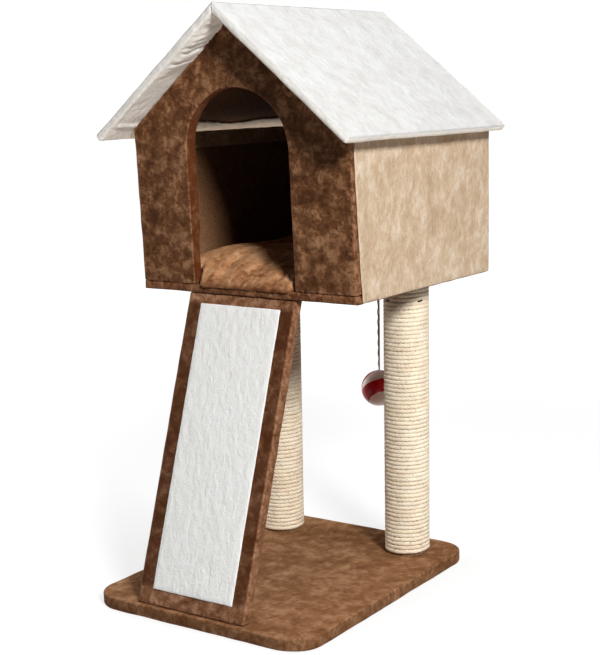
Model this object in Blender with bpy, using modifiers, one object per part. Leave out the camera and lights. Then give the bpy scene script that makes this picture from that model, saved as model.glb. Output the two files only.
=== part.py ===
"""Cat house on two rope-wound posts, with a ramp, a pitched roof, a cushion and a hanging ball.

Metres, +Z up, +Y towards the back. The origin lies on the ground under the middle of the whole object.
Lengths given from front to back are measured from the middle of the base and placed by along().
"""
import math

import bmesh
import bpy
from mathutils import Matrix, Vector

# Fit and fabric
GAP = 0.0003                # left between two pieces that touch
FABRIC = 0.0015             # plush cover, pressed flat
WRAP = GAP + FABRIC         # what a cover adds on each face of its board
STAPLED_HEM = 0.020         # cover folded over a board's edge and stapled
HEM_SHARE = 0.35            # the most of a narrow web that each hem takes

# Base
BASE_WIDTH = 0.400
BASE_DEPTH = 0.505
BASE_CORNER = 0.050
BASE_BOARD = 0.016
BASE_HEM = 0.025
BASE_TOP = BASE_BOARD + 2 * WRAP

# Posts
POST_SPACING = 0.253
POST_MIDDLE_X = -0.005
POST_BACK = 0.1775
TUBE_DIAMETER = 0.0614
TUBE_WALL = 0.005
ROPE_DIAMETER = 0.0063
ROPE_PITCH = 0.0068
ROPE_SEAT = 0.0005          # rope to tube
SHOWN_TURNS = 8             # turns wound out at each post's foot
PLUG_LENGTH = 0.025
NUT_BARREL = 0.010
NUT_BARREL_LENGTH = 0.012
NUT_FLANGE = 0.020
NUT_FLANGE_THICKNESS = 0.0015
BOLT_DIAMETER = 0.008
BOLT_HEAD = 0.018
BOLT_HEAD_HEIGHT = 0.003
BOLT_PAST_NUT = 0.004
BOLT_SINK = 0.0005          # head below the board's face

# Floor of the house
FLOOR_HEIGHT = 0.478
FLOOR_BOARD = 0.009
FLOOR_TOP = FLOOR_HEIGHT + FLOOR_BOARD + 2 * WRAP

# Walls
HOUSE_WIDTH = 0.3952
HOUSE_FRONT = -0.098
HOUSE_BACK = 0.325
WALL_HEIGHT = 0.2294        # side walls above the floor
WALL_FOLD = 0.026           # beige cover folded over the wall's top, inside
FRONT_BOARD = 0.015
FRONT_THICKNESS = FRONT_BOARD + 2 * WRAP
FRONT_LEAN = math.radians(3.1)
SIDE_BOARD = 0.009
REAR_BOARD = 0.009
REAR_INSET = 0.005          # rear wall's face from the side walls' back edges
DOOR_WIDTH = 0.186
DOOR_HEIGHT = 0.300
DOOR_X = -0.0025

# Roof
PITCH = math.radians(39.57)
ROOF_WIDTH = 0.4603
ROOF_OVERHANG = 0.066       # past the foot of the front wall
ROOF_SHORT = 0.005          # roof's back end from the walls' back edges
EAVE_SLOT = 0.0117          # side wall's top to the roof, at the wall's face
ROOF_BOARD = 0.009
ROOF_END_HEM = 0.070
ROOF_EAVE_HEM = 0.036

# Ramp
RAMP_WIDTH = 0.1995
RAMP_X = -0.0102
RAMP_SETBACK = 0.0059       # ramp's foot behind the base's front edge
RAMP_TUCK = 0.0041          # ramp's head behind the floor's front edge
RAMP_BOARD = 0.015
PANEL_WIDTH = 0.148
PANEL_X = -0.009
PANEL_BELOW = 0.0255        # left bare at the ramp's foot
PANEL_ABOVE = 0.0165        # left bare at the ramp's head
PANEL_THICKNESS = 0.002

# Wood screws
SCREW_DIAMETER = 0.0035
SCREW_HEAD = 0.007
SCREW_HEAD_HEIGHT = 0.0025
SCREW_POINT = 0.004
LONG_SCREW = 0.038
SHORT_SCREW = 0.028
RAMP_SCREW_SPACING = 0.128
FLOOR_SCREW_SPACING = 0.300
WALL_SCREW_RISE = 0.120     # above the floor
ROOF_SCREW_X = 0.110

# Cushion
CUSHION_SIDE_GAP = 0.007    # to the side walls' covers
CUSHION_FRONT_GAP = 0.003   # behind the front wall
CUSHION_BACK_GAP = 0.012
CUSHION_SEAM = 0.016        # seam above the floor
CUSHION_CROWN = 0.042       # crown above the seam
CUSHION_PULL = 0.020        # sides drawn in between the corners
CUSHION_RIM = 0.08          # share of the crown that is left at the seam
CUSHION_UNDER_RIM = 0.2     # the same on the flatter underside
CUSHION_UNDER_FILL = 2.0    # how soon the underside lies flat
CUSHION_CUTS = 9

# Hanging ball
TOY_X = 0.020
TOY_BACK = 0.260
STAPLE_WIRE = 0.0014
STAPLE_SPAN = 0.012
STAPLE_DROP = 0.0056        # floor's underside to the middle of the crown
STAPLE_LEG = 0.008          # driven into the floor
CORD_DIAMETER = 0.0026
LOOP_DIAMETER = 0.0084
KNOT_DIAMETER = 0.0052
CORD_LENGTH = 0.158         # between its knots
BALL_DIAMETER = 0.0622
BALL_WALL = 0.0016
BALL_HOLE = 0.0038

# Counts that set how fine the round shapes are
ROUND_STEPS = 16
POST_STEPS = 32
BALL_STEPS = 24
SCREW_STEPS = 12
TURN_POINTS = 24
CORD_POINTS = 24
ARC_STEPS = 6
DOOR_STEPS = 20

# Sizes and places that follow from those above
BASE_MIDDLE = -(HOUSE_BACK - BASE_DEPTH / 2) / 2
POST_TOP = FLOOR_HEIGHT - GAP
POST_FOOT = BASE_TOP + GAP
WALL_TOP = FLOOR_TOP + WALL_HEIGHT
SIDE_INNER = HOUSE_WIDTH / 2 - WRAP - SIDE_BOARD
REAR_FACE = HOUSE_BACK - REAR_INSET
REAR_THICKNESS = REAR_BOARD + 2 * WRAP
WALL_SCREW_HEIGHT = FLOOR_TOP + WALL_SCREW_RISE
ROOF_FRONT = HOUSE_FRONT - ROOF_OVERHANG
ROOF_BACK = HOUSE_BACK - ROOF_SHORT
ROOF_THICKNESS = ROOF_BOARD + 2 * WRAP
ROOF_RIDGE = (WALL_TOP + EAVE_SLOT + math.tan(PITCH) * HOUSE_WIDTH / 2
              + ROOF_THICKNESS / math.cos(PITCH))
ROOF_EAVE = ROOF_RIDGE - math.tan(PITCH) * ROOF_WIDTH / 2
RAMP_FOOT = RAMP_SETBACK - BASE_DEPTH / 2
RAMP_HEAD = HOUSE_FRONT + RAMP_TUCK
RAMP_THICKNESS = RAMP_BOARD + 2 * WRAP
RAMP_RISE = FLOOR_HEIGHT - BASE_TOP
RAMP_LENGTH = math.hypot(RAMP_RISE, RAMP_HEAD - RAMP_FOOT)
RAMP_ANGLE = math.atan2(RAMP_RISE, RAMP_HEAD - RAMP_FOOT)


def along(distance):
    """A place from front to back in the model's frame."""
    return BASE_MIDDLE + distance


# Planes that flat outlines are drawn on: level, facing the front, facing the side
LEVEL = Matrix.Identity(4)
UPRIGHT = Matrix.Rotation(math.radians(90), 4, "X")
SIDEWAYS = Matrix(((0, 0, 1, 0), (1, 0, 0, 0), (0, 1, 0, 0), (0, 0, 0, 1)))
FRONT_WALL_PLANE = (Matrix.Translation((0, along(HOUSE_FRONT), FLOOR_TOP + GAP))
                    @ Matrix.Rotation(math.radians(90) + FRONT_LEAN, 4, "X"))


# Scene, collections and materials

def clear_scene():
    for item in list(bpy.data.objects):
        bpy.data.objects.remove(item, do_unlink=True)


def make_collection(name):
    made = bpy.data.collections.new(name)
    bpy.context.scene.collection.children.link(made)
    return made


clear_scene()
PARTS = make_collection("cat_house")
CUTTERS = make_collection("cutters")


def material(name, color, roughness, metallic=0.0, alpha=1.0):
    made = bpy.data.materials.new(name)
    made.use_nodes = True
    shader = made.node_tree.nodes["Principled BSDF"]
    shader.inputs["Base Color"].default_value = (*color, 1.0)
    shader.inputs["Roughness"].default_value = roughness
    shader.inputs["Metallic"].default_value = metallic
    shader.inputs["Alpha"].default_value = alpha
    return made


BROWN = material("brown_plush", (0.105, 0.048, 0.026), 0.9)
BEIGE = material("beige_plush", (0.62, 0.45, 0.31), 0.9)
WHITE = material("white_plush", (0.80, 0.79, 0.76), 0.9)
CARPET = material("light_carpet", (0.74, 0.74, 0.71), 0.95)
CHIPBOARD = material("chipboard", (0.50, 0.36, 0.22), 0.8)
CARDBOARD = material("cardboard", (0.42, 0.29, 0.18), 0.85)
SISAL = material("sisal", (0.68, 0.54, 0.36), 0.9)
STEEL = material("zinc_steel", (0.62, 0.62, 0.60), 0.35, 1.0)
CORD = material("elastic_cord", (0.25, 0.20, 0.18), 0.8)
BALL = material("ball_plastic", (0.45, 0.04, 0.05), 0.2)


# Building tools

def add_mesh(name, mesh, place, finish=None):
    """Puts a mesh into the model, or among the cutters when it has no finish."""
    item = bpy.data.objects.new(name, mesh)
    item.matrix_world = place
    if finish is None:
        CUTTERS.objects.link(item)
        item.hide_render = True
        item.display_type = "WIRE"
    else:
        PARTS.objects.link(item)
        mesh.materials.append(finish)
    return item


def add_bmesh(name, shape, place, finish=None):
    mesh = bpy.data.meshes.new(name)
    shape.to_mesh(mesh)
    shape.free()
    return add_mesh(name, mesh, place, finish)


def curve_to_mesh(name, curve):
    """A curve as a closed mesh, with its loose caps welded."""
    helper = bpy.data.objects.new(name, curve)
    bpy.context.scene.collection.objects.link(helper)
    graph = bpy.context.evaluated_depsgraph_get()
    mesh = bpy.data.meshes.new_from_object(helper.evaluated_get(graph))
    bpy.data.objects.remove(helper, do_unlink=True)
    shape = bmesh.new()
    shape.from_mesh(mesh)
    bmesh.ops.remove_doubles(shape, verts=shape.verts, dist=0.00001)
    bmesh.ops.recalc_face_normals(shape, faces=shape.faces)
    shape.to_mesh(mesh)
    shape.free()
    mesh.materials.clear()
    return mesh


def plate(name, outline, low, high, plane=LEVEL, finish=None):
    """A flat outline, given thickness from low to high along its plane's normal."""
    curve = bpy.data.curves.new(name, "CURVE")
    curve.dimensions = "2D"
    curve.fill_mode = "BOTH"
    curve.extrude = (high - low) / 2
    spline = curve.splines.new("POLY")
    spline.points.add(len(outline) - 1)
    for point, (x, y) in zip(spline.points, outline):
        point.co = (x, y, 0.0, 1.0)
    spline.use_cyclic_u = True
    mesh = curve_to_mesh(name, curve)
    mesh.transform(Matrix.Translation((0, 0, (low + high) / 2)))
    return add_mesh(name, mesh, plane, finish)


def block(name, low, high, finish=None, place=LEVEL):
    """A box between two corners."""
    low = Vector(low)
    high = Vector(high)
    shape = bmesh.new()
    bmesh.ops.create_cube(shape, size=1.0)
    size = high - low
    bmesh.ops.scale(shape, vec=size, verts=shape.verts)
    bmesh.ops.translate(shape, vec=(low + high) / 2, verts=shape.verts)
    return add_bmesh(name, shape, place, finish)


def tube(name, points, radius, finish, resolution=2):
    """A round bar along a line of points."""
    curve = bpy.data.curves.new(name, "CURVE")
    curve.dimensions = "3D"
    curve.bevel_depth = radius
    curve.bevel_resolution = resolution
    curve.use_fill_caps = True
    spline = curve.splines.new("POLY")
    spline.points.add(len(points) - 1)
    for point, place in zip(spline.points, points):
        point.co = (*place, 1.0)
    return add_mesh(name, curve_to_mesh(name, curve), LEVEL, finish)


def turned(name, profile, place, finish=None, steps=ROUND_STEPS, ring=False):
    """A profile of (radius, height) turned about its upright axis. A ring's profile closes on itself."""
    mesh = bpy.data.meshes.new(name)
    edges = [(index, index + 1) for index in range(len(profile) - 1)]
    if ring:
        edges.append((len(profile) - 1, 0))
    mesh.from_pydata([(radius, 0.0, height) for radius, height in profile], edges, [])
    item = add_mesh(name, mesh, place, finish)
    screw = item.modifiers.new("turn", "SCREW")
    screw.steps = steps
    screw.render_steps = steps
    screw.use_merge_vertices = True
    screw.merge_threshold = 0.00001
    screw.use_smooth_shade = False
    return item


def ring_profile(inner, outer, low, high):
    return [(outer, high), (outer, low), (inner, low), (inner, high)]


def cut(target, cutter):
    step = target.modifiers.new("cut", "BOOLEAN")
    step.operation = "DIFFERENCE"
    step.solver = "EXACT"
    step.object = cutter


def join(target, added):
    step = target.modifiers.new("join", "BOOLEAN")
    step.operation = "UNION"
    step.solver = "EXACT"
    step.object = added


def arc(middle_x, middle_y, radius, start, end, steps):
    """Points of an arc, with its angles in degrees."""
    points = []
    for index in range(steps + 1):
        angle = math.radians(start + (end - start) * index / steps)
        points.append((middle_x + radius * math.cos(angle), middle_y + radius * math.sin(angle)))
    return points


def pointing(place, direction):
    """A frame at a place whose upright axis points in a direction."""
    turn = Vector(direction).to_track_quat("Z", "Y").to_matrix().to_4x4()
    return Matrix.Translation(place) @ turn


# Fasteners, each with the same profile for the piece and, a gap larger, for its hole

def screw_profile(length, clearance=0.0):
    """A countersunk wood screw from its flat head, at height 0, up to its point."""
    shank = SCREW_DIAMETER / 2 + clearance
    head = SCREW_HEAD / 2 + clearance
    neck = SCREW_HEAD_HEIGHT + clearance
    tip = length + clearance
    return [(0.0, tip), (shank / 2, tip - SCREW_POINT / 3), (shank, tip - SCREW_POINT),
            (shank, neck), (head, 0.0), (head, -clearance * 4), (0.0, -clearance * 4)]


def wood_screw(name, place, direction, length, pieces):
    """A screw from its head's face inwards, with its hole in each piece that it passes."""
    frame = pointing(place, direction)
    profile = screw_profile(length)
    del profile[5]
    turned(name, profile, frame, STEEL, SCREW_STEPS)
    hole = turned(name + "_hole", screw_profile(length, GAP), frame, steps=SCREW_STEPS)
    for piece in pieces:
        cut(piece, hole)


def bolt_profile(length):
    shank = BOLT_DIAMETER / 2
    head = BOLT_HEAD / 2
    return [(0.0, length), (shank * 0.8, length), (shank, length - shank * 0.3), (shank, BOLT_HEAD_HEIGHT),
            (head, BOLT_HEAD_HEIGHT), (head * 0.8, 0.0), (0.0, 0.0)]


# Base

def base_outline(inset):
    """The base's rounded rectangle, drawn in from its edge."""
    radius = BASE_CORNER - inset
    side = BASE_WIDTH / 2 - BASE_CORNER
    end = BASE_DEPTH / 2 - BASE_CORNER
    radius = max(radius, 0.001)
    if inset > BASE_CORNER:
        side = BASE_WIDTH / 2 - inset - radius
        end = BASE_DEPTH / 2 - inset - radius
    points = []
    for sign_x, sign_y, start in ((1, 1, 0), (-1, 1, 90), (-1, -1, 180), (1, -1, 270)):
        points += arc(sign_x * side, along(sign_y * end), radius, start, start + 90, ARC_STEPS)
    return points


def make_base():
    board = plate("base_board", base_outline(WRAP), WRAP, WRAP + BASE_BOARD, finish=CHIPBOARD)
    cover = plate("base_cover", base_outline(0.0), 0.0, BASE_TOP, finish=BROWN)
    cut(cover, plate("base_cover_inside", base_outline(FABRIC), FABRIC, BASE_TOP - FABRIC))
    cut(cover, plate("base_cover_window", base_outline(BASE_HEM), -GAP, FABRIC + GAP))
    return board, cover


# Posts

def winding_points(post_x):
    """The middle line of the rope's lowest turns, from the foot up."""
    radius = TUBE_DIAMETER / 2 + ROPE_SEAT + ROPE_DIAMETER / 2
    low = POST_FOOT + ROPE_DIAMETER / 2
    points = []
    for index in range(SHOWN_TURNS * TURN_POINTS + 1):
        turn = index / TURN_POINTS
        angle = math.radians(-60) + 2 * math.pi * turn
        points.append((post_x + radius * math.cos(angle), along(POST_BACK) + radius * math.sin(angle),
                       low + ROPE_PITCH * turn))
    return points


def print_least_gap(points):
    """The least distance between the rope's faces one turn or more apart."""
    least = min((Vector(points[first]) - Vector(points[second])).length
                for first in range(len(points))
                for second in range(first + TURN_POINTS * 3 // 4, len(points)))
    print("rope winding: least gap to itself %.2f mm" % ((least - ROPE_DIAMETER) * 1000))


def make_post(side, post_x, base_pieces, floor_pieces):
    """A cardboard tube with a plug, nut and bolt at each end, wound with rope."""
    axis = Matrix.Translation((post_x, along(POST_BACK), 0.0))
    name = side + "_post_"
    outer = TUBE_DIAMETER / 2
    inner = outer - TUBE_WALL
    turned(name + "tube", ring_profile(inner, outer, POST_FOOT, POST_TOP), axis, CARDBOARD, POST_STEPS, True)

    points = winding_points(post_x)
    tube(name + "rope_turns", points, ROPE_DIAMETER / 2, SISAL, resolution=1)
    if side == "left":
        print_least_gap(points)
    sleeve_foot = points[-1][2] + ROPE_DIAMETER / 2 + GAP
    sleeve = ring_profile(outer + GAP, outer + ROPE_SEAT + ROPE_DIAMETER, sleeve_foot, POST_TOP)
    turned(name + "rope", sleeve, axis, SISAL, POST_STEPS, True)

    clear_hole = BOLT_DIAMETER / 2 + GAP
    flange = NUT_FLANGE / 2
    for end, upward in (("foot", 1), ("head", -1)):
        seat = POST_FOOT if end == "foot" else POST_TOP
        outward = Matrix.Translation((post_x, along(POST_BACK), seat))
        if upward < 0:
            outward = outward @ Matrix.Rotation(math.pi, 4, "X")
        plug = ring_profile(NUT_BARREL / 2 + GAP, inner - GAP, 0.0, PLUG_LENGTH)
        turned(name + end + "_plug", plug, outward, CHIPBOARD, POST_STEPS, True)
        step = PLUG_LENGTH + GAP
        nut = [(flange, step + NUT_FLANGE_THICKNESS), (flange, step), (NUT_BARREL / 2, step),
               (NUT_BARREL / 2, step - NUT_BARREL_LENGTH), (clear_hole, step - NUT_BARREL_LENGTH),
               (clear_hole, step + NUT_FLANGE_THICKNESS)]
        turned(name + end + "_nut", nut, outward, STEEL, ROUND_STEPS, True)
        sink = BASE_TOP - WRAP if end == "foot" else FLOOR_TOP - FLOOR_HEIGHT - WRAP
        head_face = -(GAP + sink) + BOLT_SINK
        length = PLUG_LENGTH + NUT_FLANGE_THICKNESS + BOLT_PAST_NUT - head_face
        turned(name + end + "_bolt", bolt_profile(length), outward @ Matrix.Translation((0, 0, head_face)), STEEL)

        # The bolt's hole: a pocket for its head, open through the cover, and a bore for its shank
        pocket = head_face + BOLT_HEAD_HEIGHT + GAP
        wide = BOLT_HEAD / 2 + GAP
        hole = [(0.0, GAP * 2), (clear_hole, GAP * 2), (clear_hole, pocket), (wide, pocket),
                (wide, head_face - WRAP * 2), (0.0, head_face - WRAP * 2)]
        cutter = turned(name + end + "_bolt_hole", hole, outward)
        for piece in base_pieces if end == "foot" else floor_pieces:
            cut(piece, cutter)


# Ramp

def ramp_outline(inset, low, high):
    """The ramp's side view between two heights, drawn in from its front and back faces."""
    points = []
    for depth, heights in ((inset, (low, high)), (RAMP_THICKNESS - inset, (high, low))):
        for height in heights:
            run = (height - BASE_TOP) / math.tan(RAMP_ANGLE)
            points.append((along(RAMP_FOOT) + run + depth / math.sin(RAMP_ANGLE), height))
    return points


def make_ramp(base_pieces, floor_pieces):
    low = BASE_TOP + GAP
    high = FLOOR_HEIGHT - GAP
    left = RAMP_X - RAMP_WIDTH / 2
    right = RAMP_X + RAMP_WIDTH / 2
    board = plate("ramp_board", ramp_outline(WRAP, low, high), left + WRAP, right - WRAP, SIDEWAYS, CHIPBOARD)
    cover = plate("ramp_cover", ramp_outline(0.0, low, high), left, right, SIDEWAYS, BROWN)
    inside = ramp_outline(FABRIC, low - WRAP, high + WRAP)
    cut(cover, plate("ramp_cover_inside", inside, left + FABRIC, right - FABRIC, SIDEWAYS))

    slope = Vector((0, math.cos(RAMP_ANGLE), math.sin(RAMP_ANGLE)))
    outward = Vector((0, -math.sin(RAMP_ANGLE), math.cos(RAMP_ANGLE)))
    foot = Vector((0, along(RAMP_FOOT), BASE_TOP))
    panel_plane = Matrix.Translation(foot + outward * GAP)
    panel_plane = panel_plane @ Matrix((Vector((1, 0, 0)), slope, outward)).transposed().to_4x4()
    block("ramp_panel", (PANEL_X - PANEL_WIDTH / 2, PANEL_BELOW, 0.0),
          (PANEL_X + PANEL_WIDTH / 2, RAMP_LENGTH - PANEL_ABOVE, PANEL_THICKNESS), CARPET, panel_plane)

    # The screws stand upright, a little towards the side that the ramp leans to
    middle = RAMP_THICKNESS / 2 / math.sin(RAMP_ANGLE)
    drift = 0.25 * LONG_SCREW / math.tan(RAMP_ANGLE)
    for side, sign in (("left", -1), ("right", 1)):
        screw_x = RAMP_X + sign * RAMP_SCREW_SPACING / 2
        foot_y = along(RAMP_FOOT) + middle + drift
        wood_screw("ramp_foot_screw_" + side, (screw_x, foot_y, WRAP), (0, 0, 1), LONG_SCREW,
                   [board, *base_pieces])
        head_y = along(RAMP_HEAD) + middle - drift
        wood_screw("ramp_head_screw_" + side, (screw_x, head_y, FLOOR_TOP - WRAP), (0, 0, -1), LONG_SCREW,
                   [board, *floor_pieces])


# Floor of the house

def make_floor():
    side = HOUSE_WIDTH / 2
    front = along(HOUSE_FRONT)
    back = along(REAR_FACE) - WRAP
    board = block("floor_board", (WRAP - side, front + WRAP, FLOOR_HEIGHT + WRAP),
                  (side - WRAP, back, FLOOR_TOP - WRAP), CHIPBOARD)
    cover = block("floor_cover", (GAP + FABRIC - side, front + FRONT_THICKNESS / 2, FLOOR_HEIGHT),
                  (side - WRAP, back, FLOOR_TOP), BROWN)
    join(cover, block("floor_cover_front", (-side, front, FLOOR_HEIGHT),
                      (side, front + FRONT_THICKNESS, FLOOR_TOP)))
    cut(cover, block("floor_cover_inside", (FABRIC - side, front + FABRIC, FLOOR_HEIGHT + FABRIC),
                     (side - FABRIC, back + WRAP, FLOOR_TOP - FABRIC)))
    return board, cover


# Walls

def under_roof(x, clearance=GAP):
    """Height of the roof's underside at a place across the house."""
    return ROOF_RIDGE - (ROOF_THICKNESS + clearance) / math.cos(PITCH) - math.tan(PITCH) * abs(x)


def front_outline(inset):
    """The front wall from its foot, drawn in from its edges: a gable with an arched door."""
    stretch = 1 / math.cos(FRONT_LEAN)
    tilt = FRONT_THICKNESS * math.sin(FRONT_LEAN)
    side = HOUSE_WIDTH / 2 - inset
    edge = (inset + tilt + GAP) / math.cos(PITCH)
    foot = FLOOR_TOP + GAP
    shoulder = (under_roof(side) - edge - foot) * stretch
    apex = (under_roof(0.0) - edge - foot) * stretch
    radius = DOOR_WIDTH / 2 + inset
    spring = DOOR_HEIGHT - DOOR_WIDTH / 2
    outline = [(DOOR_X - radius, inset), (-side, inset), (-side, shoulder), (0.0, apex), (side, shoulder),
               (side, inset), (DOOR_X + radius, inset)]
    return outline + arc(DOOR_X, spring, radius, 0, 180, DOOR_STEPS)


def front_hem():
    """The front cover's folded hem, narrower where little wall is left over the door."""
    spring = DOOR_HEIGHT - DOOR_WIDTH / 2
    apex = (under_roof(0.0) - FLOOR_TOP) / math.cos(FRONT_LEAN)
    web = (apex - spring) * math.cos(PITCH) - DOOR_WIDTH / 2
    return min(STAPLED_HEM, web * HEM_SHARE)


def make_front_wall(floor_pieces):
    board = plate("front_wall_board", front_outline(WRAP), WRAP - FRONT_THICKNESS, -WRAP,
                  FRONT_WALL_PLANE, CHIPBOARD)
    cover = plate("front_wall_cover", front_outline(0.0), -FRONT_THICKNESS, 0.0, FRONT_WALL_PLANE, BROWN)
    cut(cover, plate("front_wall_cover_inside", front_outline(FABRIC), FABRIC - FRONT_THICKNESS, -FABRIC,
                     FRONT_WALL_PLANE))
    cut(cover, plate("front_wall_cover_window", front_outline(front_hem()), -FRONT_THICKNESS - GAP,
                     FABRIC + GAP - FRONT_THICKNESS, FRONT_WALL_PLANE))
    for side, sign in (("left", -1), ("right", 1)):
        place = (sign * FLOOR_SCREW_SPACING / 2, along(HOUSE_FRONT) + FRONT_THICKNESS / 2, FLOOR_HEIGHT + WRAP)
        wood_screw("front_wall_foot_screw_" + side, place, (0, 0, 1), LONG_SCREW, [board, cover, *floor_pieces])
    return board, cover


def make_side_wall(side, sign, front_pieces):
    """A low wall, trimmed to the leaning front wall, with its cover folded over its top and back edge."""
    outer = HOUSE_WIDTH / 2
    back = along(HOUSE_BACK)
    front = along(HOUSE_FRONT)
    fold = SIDE_INNER - WRAP

    def across(near, far, low_y, low_z, high_y, high_z, name, finish=None):
        """A box between two distances out from the middle, on this wall's side."""
        xs = sorted((sign * near, sign * far))
        return block(name, (xs[0], low_y, low_z), (xs[1], high_y, high_z), finish)

    name = side + "_wall_"
    board = across(SIDE_INNER, outer - WRAP, front, FLOOR_TOP + GAP, back - WRAP, WALL_TOP - WRAP,
                   name + "board", CHIPBOARD)
    cover = across(fold, outer, front, FLOOR_HEIGHT, back, WALL_TOP, name + "cover", BEIGE)
    cut(cover, across(SIDE_INNER - GAP, outer - FABRIC, front - WRAP, FLOOR_HEIGHT - WRAP, back - FABRIC,
                      WALL_TOP - FABRIC, name + "cover_inside"))
    cut(cover, across(fold - WRAP, SIDE_INNER, front - WRAP, FLOOR_HEIGHT - WRAP, back + WRAP,
                      WALL_TOP - WALL_FOLD, name + "cover_low"))
    rear = along(REAR_FACE) - REAR_THICKNESS - GAP
    cut(cover, across(fold - WRAP, SIDE_INNER, rear, FLOOR_HEIGHT - WRAP, back + WRAP, WALL_TOP + WRAP,
                      name + "cover_rear"))
    trim = block(name + "trim", (-HOUSE_WIDTH, -HOUSE_WIDTH / 4, -FRONT_THICKNESS - GAP),
                 (HOUSE_WIDTH, HOUSE_WIDTH, HOUSE_WIDTH / 4), None, FRONT_WALL_PLANE)
    cut(board, trim)
    cut(cover, trim)

    inward = FRONT_WALL_PLANE.to_3x3() @ Vector((0, 0, -1))
    climb = (WALL_SCREW_HEIGHT - FLOOR_TOP - GAP) / math.cos(FRONT_LEAN)
    head = FRONT_WALL_PLANE @ Vector((sign * (SIDE_INNER + SIDE_BOARD / 2), climb, -WRAP))
    wood_screw(side + "_wall_front_screw", head, inward, SHORT_SCREW, [board, *front_pieces])
    return board, cover


def rear_outline(inset):
    side = SIDE_INNER - GAP - inset
    edge = inset / math.cos(PITCH)
    low = FLOOR_TOP + GAP + inset
    return [(-side, low), (-side, under_roof(side) - edge), (0.0, under_roof(0.0) - edge),
            (side, under_roof(side) - edge), (side, low)]


def make_rear_wall(side_boards):
    """The closed back wall, with its cover hanging over the floor's back edge."""
    low = -along(REAR_FACE)
    high = low + REAR_THICKNESS
    board = plate("rear_wall_board", rear_outline(WRAP), low + WRAP, high - WRAP, UPRIGHT, CHIPBOARD)
    cover = plate("rear_wall_cover", rear_outline(0.0), low, high, UPRIGHT, BEIGE)
    side = SIDE_INNER - GAP
    skirt = [(-side, FLOOR_HEIGHT), (-side, WALL_SCREW_HEIGHT), (side, WALL_SCREW_HEIGHT), (side, FLOOR_HEIGHT)]
    join(cover, plate("rear_wall_skirt", skirt, low, low + FABRIC, UPRIGHT))
    cut(cover, plate("rear_wall_cover_inside", rear_outline(FABRIC), low + FABRIC, high - FABRIC, UPRIGHT))
    cut(cover, plate("rear_wall_cover_window", rear_outline(STAPLED_HEM), high - FABRIC - GAP, high + GAP,
                     UPRIGHT))
    screw_y = along(REAR_FACE) - REAR_THICKNESS / 2
    for name, sign in (("left", -1), ("right", 1)):
        head = (sign * (SIDE_INNER + SIDE_BOARD), screw_y, WALL_SCREW_HEIGHT)
        wood_screw(name + "_wall_rear_screw", head, (-sign, 0, 0), SHORT_SCREW,
                   [board, cover, side_boards[name]])
    return board, cover


# Roof

def roof_outline(sign, inset):
    """One roof panel seen from the front, drawn in from its faces: ridge top, eave, ridge bottom."""
    fall = math.tan(PITCH)
    ridge = GAP / 2 + inset
    top = ROOF_RIDGE - inset / math.cos(PITCH)
    bottom = ROOF_RIDGE - (ROOF_THICKNESS - inset) / math.cos(PITCH)
    down = Vector((math.cos(PITCH), -math.sin(PITCH)))
    inward = Vector((-math.sin(PITCH), -math.cos(PITCH)))
    eave = Vector((ROOF_WIDTH / 2, ROOF_EAVE)) - down * inset
    upper = eave + inward * inset
    lower = eave + inward * (ROOF_THICKNESS - inset)
    points = [(ridge, top - fall * ridge), tuple(upper), tuple(lower), (ridge, bottom - fall * ridge)]
    return [(sign * x, z) for x, z in points]


def hem_outline(sign):
    """The part of the panel's underside that its cover leaves bare, seen from the front."""
    down = Vector((math.cos(PITCH), -math.sin(PITCH)))
    inward = Vector((-math.sin(PITCH), -math.cos(PITCH)))
    eave = Vector((ROOF_WIDTH / 2, ROOF_EAVE))
    slope = ROOF_WIDTH / 2 / math.cos(PITCH)
    points = []
    for travel, depth in ((ROOF_EAVE_HEM, ROOF_THICKNESS - FABRIC - GAP), (ROOF_EAVE_HEM, ROOF_THICKNESS + GAP),
                          (slope - ROOF_EAVE_HEM, ROOF_THICKNESS + GAP),
                          (slope - ROOF_EAVE_HEM, ROOF_THICKNESS - FABRIC - GAP)):
        points.append(eave - down * travel + inward * depth)
    return [(sign * x, z) for x, z in points]


def make_roof_panel(side, sign, gables):
    """A board in its own cover, screwed down to the top edges of the front and rear walls."""
    name = side + "_roof_"
    low = -along(ROOF_BACK)
    high = -along(ROOF_FRONT)
    board = plate(name + "board", roof_outline(sign, WRAP), low + WRAP, high - WRAP, UPRIGHT, CHIPBOARD)
    cover = plate(name + "cover", roof_outline(sign, 0.0), low, high, UPRIGHT, WHITE)
    cut(cover, plate(name + "cover_inside", roof_outline(sign, FABRIC), low + FABRIC, high - FABRIC, UPRIGHT))
    cut(cover, plate(name + "cover_window", hem_outline(sign), low + ROOF_END_HEM, high - ROOF_END_HEM, UPRIGHT))

    inward = Vector((-sign * math.sin(PITCH), 0, -math.cos(PITCH)))
    top = ROOF_RIDGE - math.tan(PITCH) * ROOF_SCREW_X
    gable_lean = (top - FLOOR_TOP) * math.tan(FRONT_LEAN)
    places = {"front": along(HOUSE_FRONT) - gable_lean + FRONT_THICKNESS / 2,
              "rear": along(REAR_FACE) - REAR_THICKNESS / 2}
    for end, place_y in places.items():
        head = Vector((sign * ROOF_SCREW_X, place_y, top)) + inward * WRAP
        wood_screw(name + end + "_screw", head, inward, SHORT_SCREW, [board, cover, *gables[end]])


# Cushion

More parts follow.
